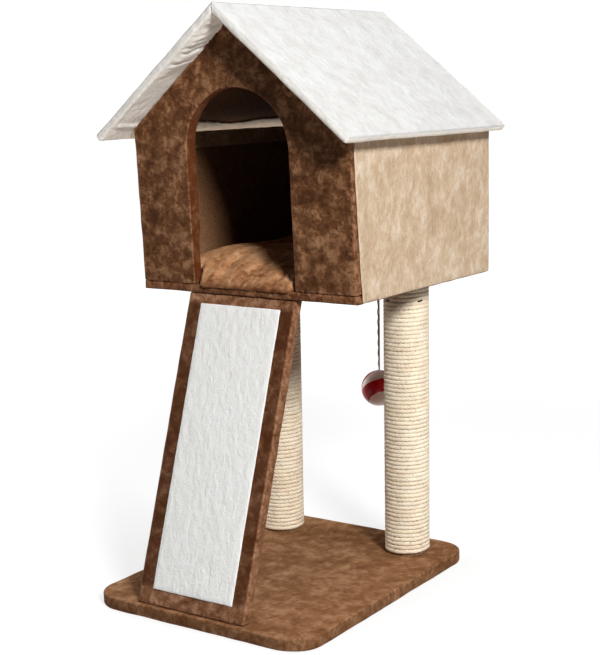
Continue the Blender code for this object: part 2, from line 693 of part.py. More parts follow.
def make_cushion():
    """A stuffed pillow: crowned on top, flatter below, its sides drawn in between the corners."""
    shape = bmesh.new()
    bmesh.ops.create_cube(shape, size=2.0)
    bmesh.ops.subdivide_edges(shape, edges=shape.edges, cuts=CUSHION_CUTS, use_grid_fill=True)
    back_face = along(HOUSE_FRONT) + FRONT_THICKNESS + CUSHION_FRONT_GAP
    depth_room = along(REAR_FACE) - REAR_THICKNESS - CUSHION_BACK_GAP - back_face
    width_room = 2 * (SIDE_INNER - WRAP - CUSHION_SIDE_GAP)
    middle_y = back_face + depth_room / 2
    seam = FLOOR_TOP + CUSHION_SEAM
    for vertex in shape.verts:
        across, depth, up = vertex.co
        fill = math.sqrt(max(0.0, (1 - across ** 4) * (1 - depth ** 4)))
        half_width = width_room / 2 - CUSHION_PULL * (1 - depth ** 2)
        half_depth = depth_room / 2 - CUSHION_PULL * (1 - across ** 2)
        edge = CUSHION_RIM + (1 - CUSHION_RIM) * fill
        rise = CUSHION_CROWN if up > 0 else CUSHION_SEAM - GAP
        if up < 0:
            edge = min(1.0, CUSHION_UNDER_RIM + CUSHION_UNDER_FILL * fill)
        vertex.co = (across * half_width, middle_y + depth * half_depth, seam + up * rise * edge)
    add_bmesh("cushion", shape, LEVEL, BROWN)


# Hanging ball

def make_toy(floor_pieces):
    """A staple under the floor, an elastic cord looped through it, and a hollow ball knotted on the cord."""
    toy_y = along(TOY_BACK)
    wire = STAPLE_WIRE / 2
    crown = FLOOR_HEIGHT - STAPLE_DROP
    top = FLOOR_HEIGHT + STAPLE_LEG
    half = STAPLE_SPAN / 2
    corner = wire * 2
    left_leg = arc(TOY_X - half + corner, crown + corner, corner, 180, 270, 4)
    right_leg = arc(TOY_X + half - corner, crown + corner, corner, 270, 360, 4)
    path = [(TOY_X - half, top), *left_leg, *right_leg, (TOY_X + half, top)]
    tube("toy_staple", [(x, toy_y, z) for x, z in path], wire, STEEL, resolution=1)
    for side, sign in (("left", -1), ("right", 1)):
        leg = [(0.0, top + GAP), (wire + GAP, top + GAP), (wire + GAP, FLOOR_HEIGHT - WRAP),
               (0.0, FLOOR_HEIGHT - WRAP)]
        hole = turned("toy_staple_hole_" + side, leg, Matrix.Translation((TOY_X + sign * half, toy_y, 0)),
                      steps=SCREW_STEPS)
        for piece in floor_pieces:
            cut(piece, hole)

    cord = CORD_DIAMETER / 2
    ring = LOOP_DIAMETER / 2
    loop_z = crown + wire + GAP - (ring - cord)
    bpy.ops.mesh.primitive_torus_add(major_radius=ring, minor_radius=cord, major_segments=18, minor_segments=8,
                                     location=(TOY_X, toy_y, loop_z), rotation=(0, math.pi / 2, 0))
    loop = bpy.context.object
    loop.name = "toy_cord_loop"
    loop.data.materials.append(CORD)
    for owner in list(loop.users_collection):
        owner.objects.unlink(loop)
    PARTS.objects.link(loop)

    knot = KNOT_DIAMETER / 2
    upper_knot = loop_z - ring - cord - GAP - knot
    start = upper_knot - knot - GAP
    end = start - CORD_LENGTH
    lower_knot = end - GAP - knot

    # The ball hangs with the inner edge of its hole on the lower knot
    ball = BALL_DIAMETER / 2
    inside = ball - BALL_WALL
    mouth = math.asin(BALL_HOLE / 2 / ball)
    seat = math.sqrt((knot + GAP) ** 2 - (inside * math.sin(mouth)) ** 2)
    ball_height = lower_knot + seat - inside * math.cos(mouth)
    for name, height in (("toy_cord_knot", upper_knot), ("toy_ball_knot", lower_knot)):
        shape = bmesh.new()
        bmesh.ops.create_uvsphere(shape, u_segments=12, v_segments=8, radius=knot)
        add_bmesh(name, shape, Matrix.Translation((TOY_X, toy_y, height)), CORD)

    heights = [start + (end - start) * index / (CORD_POINTS - 1) for index in range(CORD_POINTS)]
    tube("toy_cord", [(TOY_X, toy_y, height) for height in heights], cord, CORD)

    profile = []
    for radius, order in ((inside, range(BALL_STEPS // 2, -1, -1)),
                          (ball, range(BALL_STEPS // 2 + 1))):
        for index in order:
            angle = mouth + (math.pi - mouth) * index / (BALL_STEPS // 2)
            profile.append((radius * math.sin(angle), radius * math.cos(angle)))
    profile[0] = (0.0, profile[0][1])
    profile[-1] = (0.0, profile[-1][1])
    turned("toy_ball", profile, Matrix.Translation((TOY_X, toy_y, ball_height)), BALL, BALL_STEPS)


# Assembly

def build():
    base_pieces = make_base()
    floor_pieces = make_floor()
    for side, sign in (("left", -1), ("right", 1)):
        make_post(side, POST_MIDDLE_X + sign * POST_SPACING / 2, base_pieces, floor_pieces)
    make_ramp(base_pieces, floor_pieces)
    front_pieces = make_front_wall(floor_pieces)
    side_boards = {}
    for side, sign in (("left", -1), ("right", 1)):
        side_boards[side] = make_side_wall(side, sign, front_pieces)[0]
    rear_pieces = make_rear_wall(side_boards)
    gables = {"front": front_pieces, "rear": rear_pieces}
    for side, sign in (("left", -1), ("right", 1)):
        make_roof_panel(side, sign, gables)
    make_cushion()
    make_toy(floor_pieces)


build()
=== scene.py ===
"""Looks of the cat house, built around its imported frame. Metres, +Z up, +Y towards the back."""
from math import atan2, cos, exp, hypot, pi, radians, sin, sqrt, tan

import bmesh
import bpy
from mathutils import Matrix, Vector, noise


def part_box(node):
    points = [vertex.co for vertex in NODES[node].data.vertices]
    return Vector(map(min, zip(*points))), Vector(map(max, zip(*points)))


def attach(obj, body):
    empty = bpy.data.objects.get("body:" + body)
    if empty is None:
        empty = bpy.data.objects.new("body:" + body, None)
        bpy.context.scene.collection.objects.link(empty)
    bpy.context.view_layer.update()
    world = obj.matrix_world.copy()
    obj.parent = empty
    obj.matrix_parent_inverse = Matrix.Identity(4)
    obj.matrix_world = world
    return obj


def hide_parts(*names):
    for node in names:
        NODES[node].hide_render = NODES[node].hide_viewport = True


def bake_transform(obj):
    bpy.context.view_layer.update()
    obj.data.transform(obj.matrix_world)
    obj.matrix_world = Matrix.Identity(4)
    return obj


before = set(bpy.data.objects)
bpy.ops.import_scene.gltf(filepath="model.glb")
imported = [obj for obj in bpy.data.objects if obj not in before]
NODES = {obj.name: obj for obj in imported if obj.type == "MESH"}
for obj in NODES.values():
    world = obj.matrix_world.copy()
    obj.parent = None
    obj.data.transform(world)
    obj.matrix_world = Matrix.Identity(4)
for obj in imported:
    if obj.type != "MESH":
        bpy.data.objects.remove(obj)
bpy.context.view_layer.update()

STAND = "stand"
X = Vector((1, 0, 0))
Y = Vector((0, 1, 0))
Z = Vector((0, 0, 1))

# Fit and fabric
GAP = 0.0003
FABRIC = 0.0015
WRAP = GAP + FABRIC
SOFT_EDGE = 0.0034
ROOF_EDGE = 0.0038
GRID = 0.008
FRONT_GRID = 0.007
MERGE = 0.00001
MARGIN = 0.001
BULGE = 0.0006
BULGE_SIZE = 0.03

# Sizes of the house that the covers follow
BASE_WIDTH = 0.400
BASE_DEPTH = 0.505
BASE_CORNER = 0.050
BASE_HEM = 0.025
BASE_TOP = 0.0196
FLOOR_HEIGHT = 0.478
FLOOR_TOP = 0.4906
HOUSE_WIDTH = 0.3952
WALL_TOP = 0.720
WALL_FOLD = 0.026
FRONT_THICKNESS = 0.0186
FRONT_LEAN = radians(3.1)
SIDE_INNER = 0.1868
DOOR_WIDTH = 0.186
DOOR_HEIGHT = 0.300
DOOR_X = -0.0025
HEM_WIDTH = 0.018
HEM_ROLL = 0.0045
ROLL_START = 0.062
ROLL_FADE = 0.03
ROLL_LAYER = 0.005
DOOR_LIP = 0.0012
REAR_THICKNESS = 0.0126
REAR_HEM = 0.020
PITCH = radians(39.57)
ROOF_WIDTH = 0.4603
ROOF_THICKNESS = 0.0126
EAVE_SLOT = 0.0117
LAP_PROUD = 0.0022
LAP_NEAR = 0.002
LAP_RIM = 0.004
LAP_FADE = 0.010
LAP_LEAST = 0.004
LAP_GROWTH = 0.0085
ROOF_END_HEM = 0.070
ROOF_REAR_HEM = 0.021
ROOF_EAVE_HEM = 0.036
PLEAT_DEPTH = 0.0042
PLEAT_SPACING = 0.010
TUCK_SPACING = 0.0045
PLEATS_END = 0.165
EAVE_FOLD = 0.2615
WRINKLE_DEPTH = 0.0009
RAMP_WIDTH = 0.1995
RAMP_X = -0.0102
RAMP_THICKNESS = 0.0186
PANEL_WIDTH = 0.148
PANEL_X = -0.009
PANEL_BELOW = 0.0255
PANEL_ABOVE = 0.0165
PANEL_THICKNESS = 0.002
PANEL_EDGE = 0.0011

# Places from front to back
BASE_MIDDLE = -0.03625
HOUSE_FRONT = BASE_MIDDLE - 0.098
HOUSE_BACK = BASE_MIDDLE + 0.325
REAR_FACE = HOUSE_BACK - 0.005
ROOF_FRONT = HOUSE_FRONT - 0.066
ROOF_BACK = HOUSE_BACK - 0.005
RAMP_FOOT = BASE_MIDDLE - BASE_DEPTH / 2 + 0.0059
RAMP_HEAD = HOUSE_FRONT + 0.0041
POST_Y = BASE_MIDDLE + 0.1775
TOY_X = 0.020
TOY_Y = BASE_MIDDLE + 0.260

# Sizes that follow
ROOF_RIDGE = (WALL_TOP + EAVE_SLOT + tan(PITCH) * HOUSE_WIDTH / 2
              + ROOF_THICKNESS / cos(PITCH))
ROOF_EAVE = ROOF_RIDGE - tan(PITCH) * ROOF_WIDTH / 2
DOOR_RADIUS = DOOR_WIDTH / 2
DOOR_SPRING = DOOR_HEIGHT - DOOR_RADIUS
RAMP_RISE = FLOOR_HEIGHT - BASE_TOP
RAMP_LENGTH = hypot(RAMP_RISE, RAMP_HEAD - RAMP_FOOT)
RAMP_ANGLE = atan2(RAMP_RISE, RAMP_HEAD - RAMP_FOOT)
FRONT_PLANE = (Matrix.Translation((0, HOUSE_FRONT, FLOOR_TOP + GAP))
               @ Matrix.Rotation(radians(90) + FRONT_LEAN, 4, "X"))

# Posts
POSTS = {"left": -0.1315, "right": 0.1215}
ROPE_RADIUS = 0.0038
ROPE_PITCH = 0.0068
ROPE_REACH = 0.0337
ROPE_LAY = 0.021
ROPE_CREST = 0.0006
ROPE_GROOVE = 0.0016
ROPE_SQUEEZE = 0.003
ROPE_SIDES = 12
ROPE_STEPS = 90
ROPE_END = 0.0033
ROPE_FLARE = 0.0004
ROPE_WANDER = 0.0003
ROPE_DRIFT = 0.0005
POST_FOOT = BASE_TOP + GAP
POST_TOP = FLOOR_HEIGHT - GAP
STAPLE_Z = 0.4468
STAPLE_WIRE = 0.0012
STAPLE_PROUD = 0.0008
STAPLE_HALF = ((0.0034, 0.004), (0.0034, 0.0006), (0.0026, 0.0))

# Cushion
CUSHION_SEAM = 0.5066
CUSHION_CROWN = 0.029
CUSHION_BELLY = 0.015
CUSHION_SLACK = 0.006
CUSHION_WAIST = 0.010
CUSHION_VOXEL = 0.005
CUSHION_CAP = 0.013
CUSHION_PRESSURE = 4.0
CLOTH_FRAMES = 20
SEAM_BAND = 0.0035
SEAM_SIDE = 0.024
SEAM_END = 0.022
FOOT_SHADE_DEPTH = 0.022
FOOT_SHADE_RISE = 0.013
DOOR_SWELL = 0.045
DOOR_SAG = 0.0157
DOOR_HALF = DOOR_RADIUS - 0.0006
SWELL_HALF = 0.1045
SWELL_FADE = 0.012
SAG_HALF = 0.120
SAG_FADE = 0.020
PUCKER_DEPTH = 0.005
TUFT_DEPTH = 0.0012
TUFT_SIZE = 0.012
CORNER_ROUND = 0.0115
CORNER_BACK = 0.0165
SOFT_STOP = 0.006
SILL_PROUD = 0.0015
SWELL_START = 0.014
SWELL_DEPTH = 0.045
SILL_DROP = 0.0042
SILL_SLOPE = 0.40

# Hanging ball
CORD_DIAMETER = 0.0042
LOOP_WIRE = 0.00125
CORD_LAY = 0.48
CORD_STRAND = CORD_DIAMETER * 0.27
CORD_STEP = 0.002
CORD_FACING = radians(31.0)
CORD_SWAY = Vector((0.858, 0.513, 0)) * 0.0005
CORD_SWAY_LENGTH = 0.018
KNOT_RADIUS = 0.0026
LOOP_RADIUS = 0.0042
LOOP_Z = 0.4705
CORD_FOOT, CORD_TOP = (corner.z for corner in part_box("toy_cord"))
BALL_RADIUS = 0.0311
BALL_WALL = 0.0016
BALL_HOLE = 0.0048
BALL_MIDDLE = (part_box("toy_ball")[0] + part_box("toy_ball")[1]) / 2


# Adding to the scene

def add_object(name, data):
    item = bpy.data.objects.new(name, data)
    bpy.context.scene.collection.objects.link(item)
    return item


def add_mesh(name, shape):
    """A new object from a bmesh, which is used up."""
    mesh = bpy.data.meshes.new(name)
    shape.to_mesh(mesh)
    shape.free()
    return add_object(name, mesh)


def result_of(item):
    """An object's mesh as its modifiers and settings leave it."""
    graph = bpy.context.evaluated_depsgraph_get()
    return bpy.data.meshes.new_from_object(item.evaluated_get(graph))


# Camera, light and floor

def as_colour(value):
    """Three parts are a colour as it shows on a screen, from 0 to 255, and anything else is kept."""
    if not isinstance(value, tuple) or len(value) != 3:
        return value
    parts = [part / 255 for part in value]
    return (*(part / 12.92 if part <= 0.04045 else ((part + 0.055) / 1.055) ** 2.4 for part in parts), 1.0)


def grey(share):
    return (share, share, share, 1.0)


def make_camera():
    place = (1.2595, -1.84955, 0.7957)
    azimuth = radians(34.09)
    elevation = radians(9.78)
    roll = radians(-1.05)
    back = Vector((sin(azimuth) * cos(elevation), -cos(azimuth) * cos(elevation),
                   sin(elevation)))
    right = (-back).cross(Z).normalized()
    up = right.cross(-back)
    side = right * cos(roll) + up * sin(roll)
    top = up * cos(roll) - right * sin(roll)
    lens = bpy.data.cameras.new("camera")
    lens.sensor_width = 36.0
    lens.lens = 78.11
    lens.clip_start = 0.05
    lens.clip_end = 50.0
    camera = add_object("camera", lens)
    camera.matrix_world = Matrix.Translation(place) @ Matrix((side, top, back)).transposed().to_4x4()
    bpy.context.scene.camera = camera


def make_light(name, place, aim, size, power):
    lamp = bpy.data.lights.new(name, "AREA")
    lamp.shape = "DISK"
    lamp.size = size
    lamp.energy = power
    turn = (Vector(aim) - Vector(place)).to_track_quat("-Z", "Y").to_matrix().to_4x4()
    add_object(name, lamp).matrix_world = Matrix.Translation(place) @ turn


def make_world(seen, above, below):
    """White all round as it is seen, while the object gets softer light from above and from the floor."""
    world = bpy.data.worlds.new("studio")
    world.use_nodes = True
    sky = Shading(world.node_tree)
    sky.tree.nodes.remove(sky.tree.nodes["Background"])
    height = sky.node("SeparateXYZ", outlet="Z", Vector=sky.node("TexCoord", outlet="Generated"))
    upward = sky.node("MapRange", Value=height, From_Min=-1.0)
    lit = sky.node("Background", Color=sky.ramp(upward, ((0.12, below), (0.21, above))), Strength=1.0)
    shown = sky.node("Background", Color=grey(1.0), Strength=seen)
    both = sky.node("MixShader", Fac=sky.node("LightPath", outlet="Is Camera Ray"), _1=lit, _2=shown)
    sky.tree.links.new(both.socket, sky.tree.nodes["World Output"].inputs["Surface"])
    bpy.context.scene.world = world


def make_studio():
    make_light("key_light", (2.60, -1.85, 2.22), (0, 0, 0.45), 0.75, 144)
    make_light("top_light", (0.3, 0.5, 3.6), (0, 0, 0.4), 2.6, 60)
    make_light("left_fill", (-2.1, 0.10, 0.75), (0, 0.15, 0.40), 1.2, 30)
    make_light("low_bounce", (1.7, 0.35, 0.20), (0, 0.10, 0.60), 1.4, 2.5)
    make_world(1.02, grey(0.045), (1.34, 1.23, 1.12, 1.0))
    bpy.context.scene.view_settings.view_transform = "Standard"
    shape = bmesh.new()
    bmesh.ops.create_grid(shape, x_segments=2, y_segments=2, size=12.0)
    floor = add_mesh("studio_floor", shape)
    floor.location = (0, 0, -0.0004)
    floor.visible_diffuse = False
    paper = Finish("studio_paper", Roughness=0.9, Specular_IOR_Level=0.1, Emission_Strength=1.0)
    place = paper.place()
    cloud = paper.noise(place, 0.7)
    paper.colour(paper.ramp(cloud, ((0.0, grey(0.29)), (1.0, grey(0.31)))))
    away = paper.node("VectorMath", {"operation": "LENGTH"}, outlet="Value", _0=place)
    glow = paper.ramp(paper.fade(away, 0.9, 3.0), ((0.0, grey(0.71)), (1.0, grey(1.0))))
    paper.link("Emission Color", glow)
    floor.data.materials.append(paper.material)


# Materials

class Value:
    """A socket of a material's nodes, so that shader maths reads as plain sums."""

    def __init__(self, finish, socket):
        self.finish = finish
        self.socket = socket

    def __add__(self, other):
        return self.finish.maths("ADD", self, other)

    __radd__ = __add__

    def __sub__(self, other):
        return self.finish.maths("SUBTRACT", self, other)

    def __rsub__(self, other):
        return self.finish.maths("SUBTRACT", other, self)

    def __mul__(self, other):
        return self.finish.maths("MULTIPLY", self, other)

    __rmul__ = __mul__


class Shading:
    """A tree of shader nodes, and the few kinds of node that the looks are made of."""

    def __init__(self, tree):
        self.tree = tree

    def node(self, kind, settings=(), outlet=0, **sockets):
        """A node: its settings first, then what goes into its sockets."""
        made = self.tree.nodes.new("ShaderNode" + kind)
        for name, value in dict(settings).items():
            setattr(made, name, value)
        for name, value in sockets.items():
            key = int(name[1:]) if name[0] == "_" else name.replace("_", " ")
            if isinstance(value, Value):
                self.tree.links.new(value.socket, made.inputs[key])
            else:
                made.inputs[key].default_value = value
        return Value(self, made.outputs[outlet])

    def maths(self, operation, first, second):
        return self.node("Math", {"operation": operation}, _0=first, _1=second)

    def place(self, stretch=(1, 1, 1), shift=(0, 0, 0)):
        """Where a point lies on the object, in metres, stretched or shifted for a pattern."""
        coordinates = self.node("TexCoord", outlet="Object")
        return self.node("Mapping", Vector=coordinates, Scale=stretch, Location=shift)

    def noise(self, place, scale, detail=2.0, roughness=0.5, distortion=0.0):
        return self.node("TexNoise", Vector=place, Scale=scale, Detail=detail, Roughness=roughness,
                         Distortion=distortion)

    def ramp(self, value, stops):
        made = self.node("ValToRGB", Fac=value)
        marks = made.socket.node.color_ramp.elements
        while len(marks) < len(stops):
            marks.new(1.0)
        for mark, (place, colour) in zip(marks, stops):
            mark.position = place
            mark.color = as_colour(colour)
        return made

    def fade(self, value, low, high):
        """0 below low, 1 above high, and smooth in between."""
        return self.node("MapRange", {"interpolation_type": "SMOOTHSTEP"}, Value=value,
                         From_Min=low, From_Max=high)

    def blend(self, share, first, second):
        return self.node("Mix", {"data_type": "RGBA"}, outlet=2, _0=share, _6=as_colour(first),
                         _7=as_colour(second))

    def attribute(self, name):
        return self.node("Attribute", {"attribute_name": name}, outlet="Fac")


class Finish(Shading):
    """A material, made with its fixed values."""

    def __init__(self, name, **values):
        self.material = bpy.data.materials.new("finish_" + name)
        self.material.use_nodes = True
        super().__init__(self.material.node_tree)
        self.shader = self.tree.nodes["Principled BSDF"]
        for key, value in values.items():
            self.shader.inputs[key.replace("_", " ")].default_value = value

    def link(self, name, value):
        self.tree.links.new(value.socket, self.shader.inputs[name])

    def colour(self, value):
        self.link("Base Color", value)

    def relief(self, height, depth):
        self.link("Normal", self.node("Bump", Height=height, Distance=depth, Strength=1.0))


def plush_finish(name, deep, middle, light, edge, patch, spread=0.16, edge_share=0.3, sheen=0.25,
                 stretch=(1, 1, 1), flat_pile_and_painted_shading=None, crush=3.0):
    """Short pile that lies this way and that, so that it shows in darker and lighter patches."""
    plush = Finish(name, Roughness=0.92, Specular_IOR_Level=0.1, Sheen_Weight=sheen, Sheen_Roughness=0.45,
                   Sheen_Tint=as_colour(light))
    place = plush.place(stretch)
    wide = plush.noise(place, patch * 0.3)
    patches = plush.noise(place, patch, distortion=0.4)
    small = plush.noise(place, patch * 3.0, detail=1.0, distortion=0.3)
    pile = plush.noise(place, 560.0, roughness=0.7)
    tone = wide * 0.25 + patches * 0.50 + small * 0.25 + (pile - 0.5) * 0.30
    colour = plush.ramp(tone, ((0.5 - spread, deep), (0.5, middle), (0.5 + spread, light)))
    # Lighter pile along bent edges, with a painted highlight there.
    bend = plush.attribute("edge")
    edge_pile_and_highlight = bend * bend * plush.fade(small + pile * 0.5, 0.6, 0.9) * edge_share
    # A second tone where a cover notes it: painted shade on the base's sides, the ramp's foot, the door's
    # reveal and the cushion's foot, painted light under the roof, and a darker tone along the ramp's rails
    # and round the floor's cover.
    if flat_pile_and_painted_shading:
        flat = plush.attribute("flat_pile_and_painted_shading") * (1.4 - patches)
        colour = plush.blend(flat, colour, flat_pile_and_painted_shading)
        edge_pile_and_highlight = edge_pile_and_highlight * (1 - flat)
    plush.colour(plush.blend(edge_pile_and_highlight, colour, edge))
    plush.relief(pile * 1.1 + small * 1.8 + patches * crush, 0.0009)
    return plush.material


def brown_plush():
    return plush_finish("brown_plush", (74, 42, 20), (109, 70, 42), (162, 119, 86), (172, 124, 96),
                        patch=50.0, spread=0.13, edge_share=0.55, flat_pile_and_painted_shading=(92, 45, 15), crush=4.5)


# A lighter copy of the brown plush for the base: painted sheen on its flat top.
def base_plush():
    return plush_finish("base_plush", (94, 56, 29), (130, 88, 55), (172, 131, 98), (172, 130, 100),
                        patch=44.0, spread=0.18, edge_share=0.4, flat_pile_and_painted_shading=(80, 42, 14), crush=1.0)


def ramp_plush():
    return plush_finish("ramp_plush", (94, 57, 34), (134, 91, 63), (178, 135, 104), (176, 130, 102),
                        patch=52.0, spread=0.15, edge_share=0.25, flat_pile_and_painted_shading=(78, 40, 16))


# A lighter copy of the brown plush for the cushion: painted light.
def cushion_plush():
    return plush_finish("cushion_plush", (122, 72, 36), (182, 130, 88), (214, 168, 124), (206, 150, 120),
                        patch=40.0, spread=0.14, flat_pile_and_painted_shading=(92, 48, 18), crush=2.0)


def beige_plush():
    return plush_finish("beige_plush", (188, 159, 130), (206, 181, 152), (226, 208, 186), (217, 195, 167),
                        patch=48.0, sheen=0.15, stretch=(1.0, 1.0, 0.8))


# Its second tone is lighter: painted light under the roof.
def white_plush():
    return plush_finish("white_plush", (192, 191, 189), (203, 202, 200), (211, 211, 210), (206, 203, 198),
                        patch=34.0, spread=0.15, edge_share=0.25, sheen=0.1, flat_pile_and_painted_shading=(252, 247, 239),
                        crush=2.0)


def light_carpet():
    return plush_finish("light_carpet", (248, 248, 244), (253, 253, 250), (255, 255, 253), (244, 240, 234),
                        patch=34.0, spread=0.22, sheen=0.15, stretch=(1.0, 1.0, 0.5), crush=0.5)


def chipboard():
    board = Finish("chipboard", Roughness=0.85, Specular_IOR_Level=0.25)
    place = board.place()
    grain = board.noise(place, 260.0, detail=4.0, roughness=0.65)
    chips = board.node("TexVoronoi", outlet="Distance", Vector=place, Scale=420.0)
    stain = board.noise(place, 8.0)
    tone = grain * 0.55 + chips * 0.25 + stain * 0.25
    board.colour(board.ramp(tone, ((0.30, (92, 58, 35)), (0.50, (126, 87, 57)), (0.72, (154, 113, 80)))))
    board.relief(grain + chips * 0.5, 0.0003)
    return board.material


def cardboard():
    card = Finish("cardboard", Roughness=0.9, Specular_IOR_Level=0.2)
    place = card.place((1.0, 1.0, 4.0))
    fibre = card.noise(place, 180.0, detail=4.0, roughness=0.6)
    card.colour(card.ramp(fibre, ((0.3, (150, 120, 88)), (0.7, (184, 152, 116)))))
    card.relief(fibre, 0.0002)
    return card.material


def sisal():
    rope = Finish("sisal", Roughness=0.88, Specular_IOR_Level=0.2, Sheen_Weight=0.12, Sheen_Roughness=0.5)
    place = rope.place()
    band = rope.noise(rope.place((1.0, 1.0, 6.0)), 22.0)
    fibre = rope.noise(place, 900.0, detail=3.0, roughness=0.65)
    fleck = rope.noise(place, 300.0, roughness=0.6)
    tone = band * 0.3 + fibre * 0.35 + fleck * 0.35
    colour = rope.ramp(tone, ((0.30, (236, 212, 176)), (0.46, (252, 237, 209)), (0.62, (255, 247, 228))))
    groove = rope.attribute("groove")
    # Painted shade in the grooves between the turns: a warmer, darker tone.
    colour = rope.blend(groove * 0.12, colour, (232, 180, 122))
    # Painted shade in the valleys between the strands, in patches and deepest in the grooves.
    patchy = rope.fade(rope.noise(place, 60.0), 0.40, 0.64)
    colour = rope.blend(rope.attribute("valley") * patchy * (groove * 0.45 + 0.15), colour, (164, 104, 56))
    dark = rope.fade(fleck, 0.62, 0.70) * 0.7
    rope.colour(rope.blend(dark, colour, (140, 104, 70)))
    rope.relief(fibre + fleck * 1.5, 0.0003)
    return rope.material


def staple_wire():
    wire = Finish("staple_wire", Metallic=0.3, Roughness=0.6)
    # Dark brown wire, partly painted shade: it also stands for the shade of the dents where the staples sit.
    mottle = wire.noise(wire.place(), 900.0)
    wire.colour(wire.ramp(mottle, ((0.35, (44, 22, 12)), (0.65, (70, 38, 20)))))
    wire.relief(mottle, 0.0001)
    return wire.material


def zinc_steel():
    steel = Finish("zinc_steel", Metallic=1.0, Roughness=0.35)
    place = steel.place()
    spangle = steel.noise(place, 300.0)
    steel.colour(steel.ramp(spangle, ((0.3, (150, 150, 148)), (0.7, (198, 198, 194)))))
    steel.link("Roughness", spangle * 0.25 + 0.25)
    return steel.material


def elastic_cord():
    cord = Finish("elastic_cord", Roughness=0.8, Specular_IOR_Level=0.2, Sheen_Weight=0.2)
    place = cord.place()
    thread = cord.noise(place, 1400.0)
    wide = cord.noise(place, 120.0)
    tone = thread * 0.3 + wide * 0.2 + cord.attribute("strand") * 0.5
    cord.colour(cord.ramp(tone, ((0.2, (112, 84, 64)), (0.5, (206, 188, 172)), (0.8, (252, 249, 243)))))
    cord.relief(thread, 0.0002)
    return cord.material


def ball_plastic():
    """Satin plastic: pale caps with a broad deep red band between them, and red on the far side."""
    plastic = Finish("ball_plastic", Specular_IOR_Level=0.25, Coat_Weight=0.12, Coat_Roughness=0.15)
    centred = plastic.place(shift=tuple(-part for part in BALL_MIDDLE))
    axis = Vector((-0.53, 0.42, 0.737)).normalized()
    height = plastic.node("VectorMath", {"operation": "DOT_PRODUCT"}, outlet="Value", _0=centred, _1=axis)
    wobble = plastic.noise(centred, 60.0, detail=1.0)
    level = height + (wobble - 0.5) * 0.003
    band = plastic.fade(level, -0.0208, -0.0200) - plastic.fade(level, 0.0002, 0.0010)
    cloud = plastic.noise(centred, 45.0)
    shell = plastic.ramp(cloud, ((0.3, (252, 222, 216)), (0.7, (255, 236, 232))))
    red = plastic.ramp(cloud, ((0.3, (170, 0, 16)), (0.7, (222, 8, 30))))
    back = Vector((-0.866, 0.195, 0.460))
    rim = plastic.node("VectorMath", {"operation": "DOT_PRODUCT"}, outlet="Value", _0=centred, _1=back)
    dyed = plastic.maths("MAXIMUM", band, plastic.fade(rim, 0.0180, 0.0188))
    plastic.colour(plastic.blend(dyed, shell, red))
    plastic.link("Roughness", cloud * 0.12 + 0.30)
    return plastic.material


FINISHES = {make.__name__: make() for make in (
    brown_plush, beige_plush, white_plush, light_carpet, chipboard, cardboard, sisal, zinc_steel,
    elastic_cord, ball_plastic)}


# Making meshes

def clamp(value):
    """A value held between 0 and 1."""
    return min(1.0, max(0.0, value))


def waver(x, y, z):
    """A random value that changes smoothly from place to place, about -1 to 1."""
    return noise.noise(Vector((x, y, z)))


def angles(count):
    """Even angles once round."""
    return [2 * pi * index / count for index in range(count)]


def everything(shape):
    return shape.verts[:] + shape.edges[:] + shape.faces[:]


def slab(points, travel):
    """A closed body from a flat outline of points, pushed along a vector."""
    shape = bmesh.new()
    face = shape.faces.new([shape.verts.new(point) for point in points])
    made = bmesh.ops.extrude_face_region(shape, geom=[face])
    moved = [item for item in made["geom"] if isinstance(item, bmesh.types.BMVert)]
    bmesh.ops.translate(shape, vec=travel, verts=moved)
    bmesh.ops.recalc_face_normals(shape, faces=shape.faces)
    return shape


def box(low, high):
    low, high = Vector(low), Vector(high)
    shape = bmesh.new()
    bmesh.ops.create_cube(shape, size=1.0)
    bmesh.ops.scale(shape, vec=high - low, verts=shape.verts)
    bmesh.ops.translate(shape, vec=(low + high) / 2, verts=shape.verts)
    return shape


def sharp(edge):
    return len(edge.link_faces) == 2 and edge.calc_face_angle(0.0) > radians(30)


def lowest(edge, axis):
    return min(vertex.co[axis] for vertex in edge.verts)


def highest(edge, axis):
    return max(vertex.co[axis] for vertex in edge.verts)


def round_edges(shape, radius, segments=3, chosen=sharp):
    edges = [edge for edge in shape.edges if chosen(edge)]
    bmesh.ops.bevel(shape, geom=edges, offset=radius, offset_type="OFFSET", segments=segments, profile=0.5,
                    affect="EDGES", clamp_overlap=True, material=-1)


def cut_at(shape, direction, distances):
    """Cuts right across the shape at distances along a direction."""
    direction = direction.normalized()
    for distance in distances:
        bmesh.ops.bisect_plane(shape, geom=everything(shape), dist=MERGE, plane_co=direction * distance,
                               plane_no=direction)


def even_steps(low, high, spacing):
    count = max(1, round((high - low) / spacing))
    return [low + (high - low) * index / count for index in range(1, count)]


def cut_evenly(shape, direction, spacing=GRID):
    direction = direction.normalized()
    reach = [vertex.co.dot(direction) for vertex in shape.verts]
    cut_at(shape, direction, even_steps(min(reach), max(reach), spacing))


def remove_faces(shape, chosen):
    faces = [face for face in shape.faces if chosen(face)]
    bmesh.ops.delete(shape, geom=faces, context="FACES")


def open_window(shape, outward, hem):
    """Leaves only a hem of the face that looks in a direction."""
    face = max((face for face in shape.faces if face.normal.dot(outward) > 0.99),
               key=lambda face: face.calc_area())
    bmesh.ops.inset_region(shape, faces=[face], thickness=hem, use_even_offset=True, use_boundary=True)
    bmesh.ops.delete(shape, geom=[face], context="FACES")


def note(shape, name, share_at):
    """Notes a share on each vertex, for the looks to read."""
    layer = shape.verts.layers.float.new(name)
    for vertex in shape.verts:
        vertex[layer] = share_at(vertex)


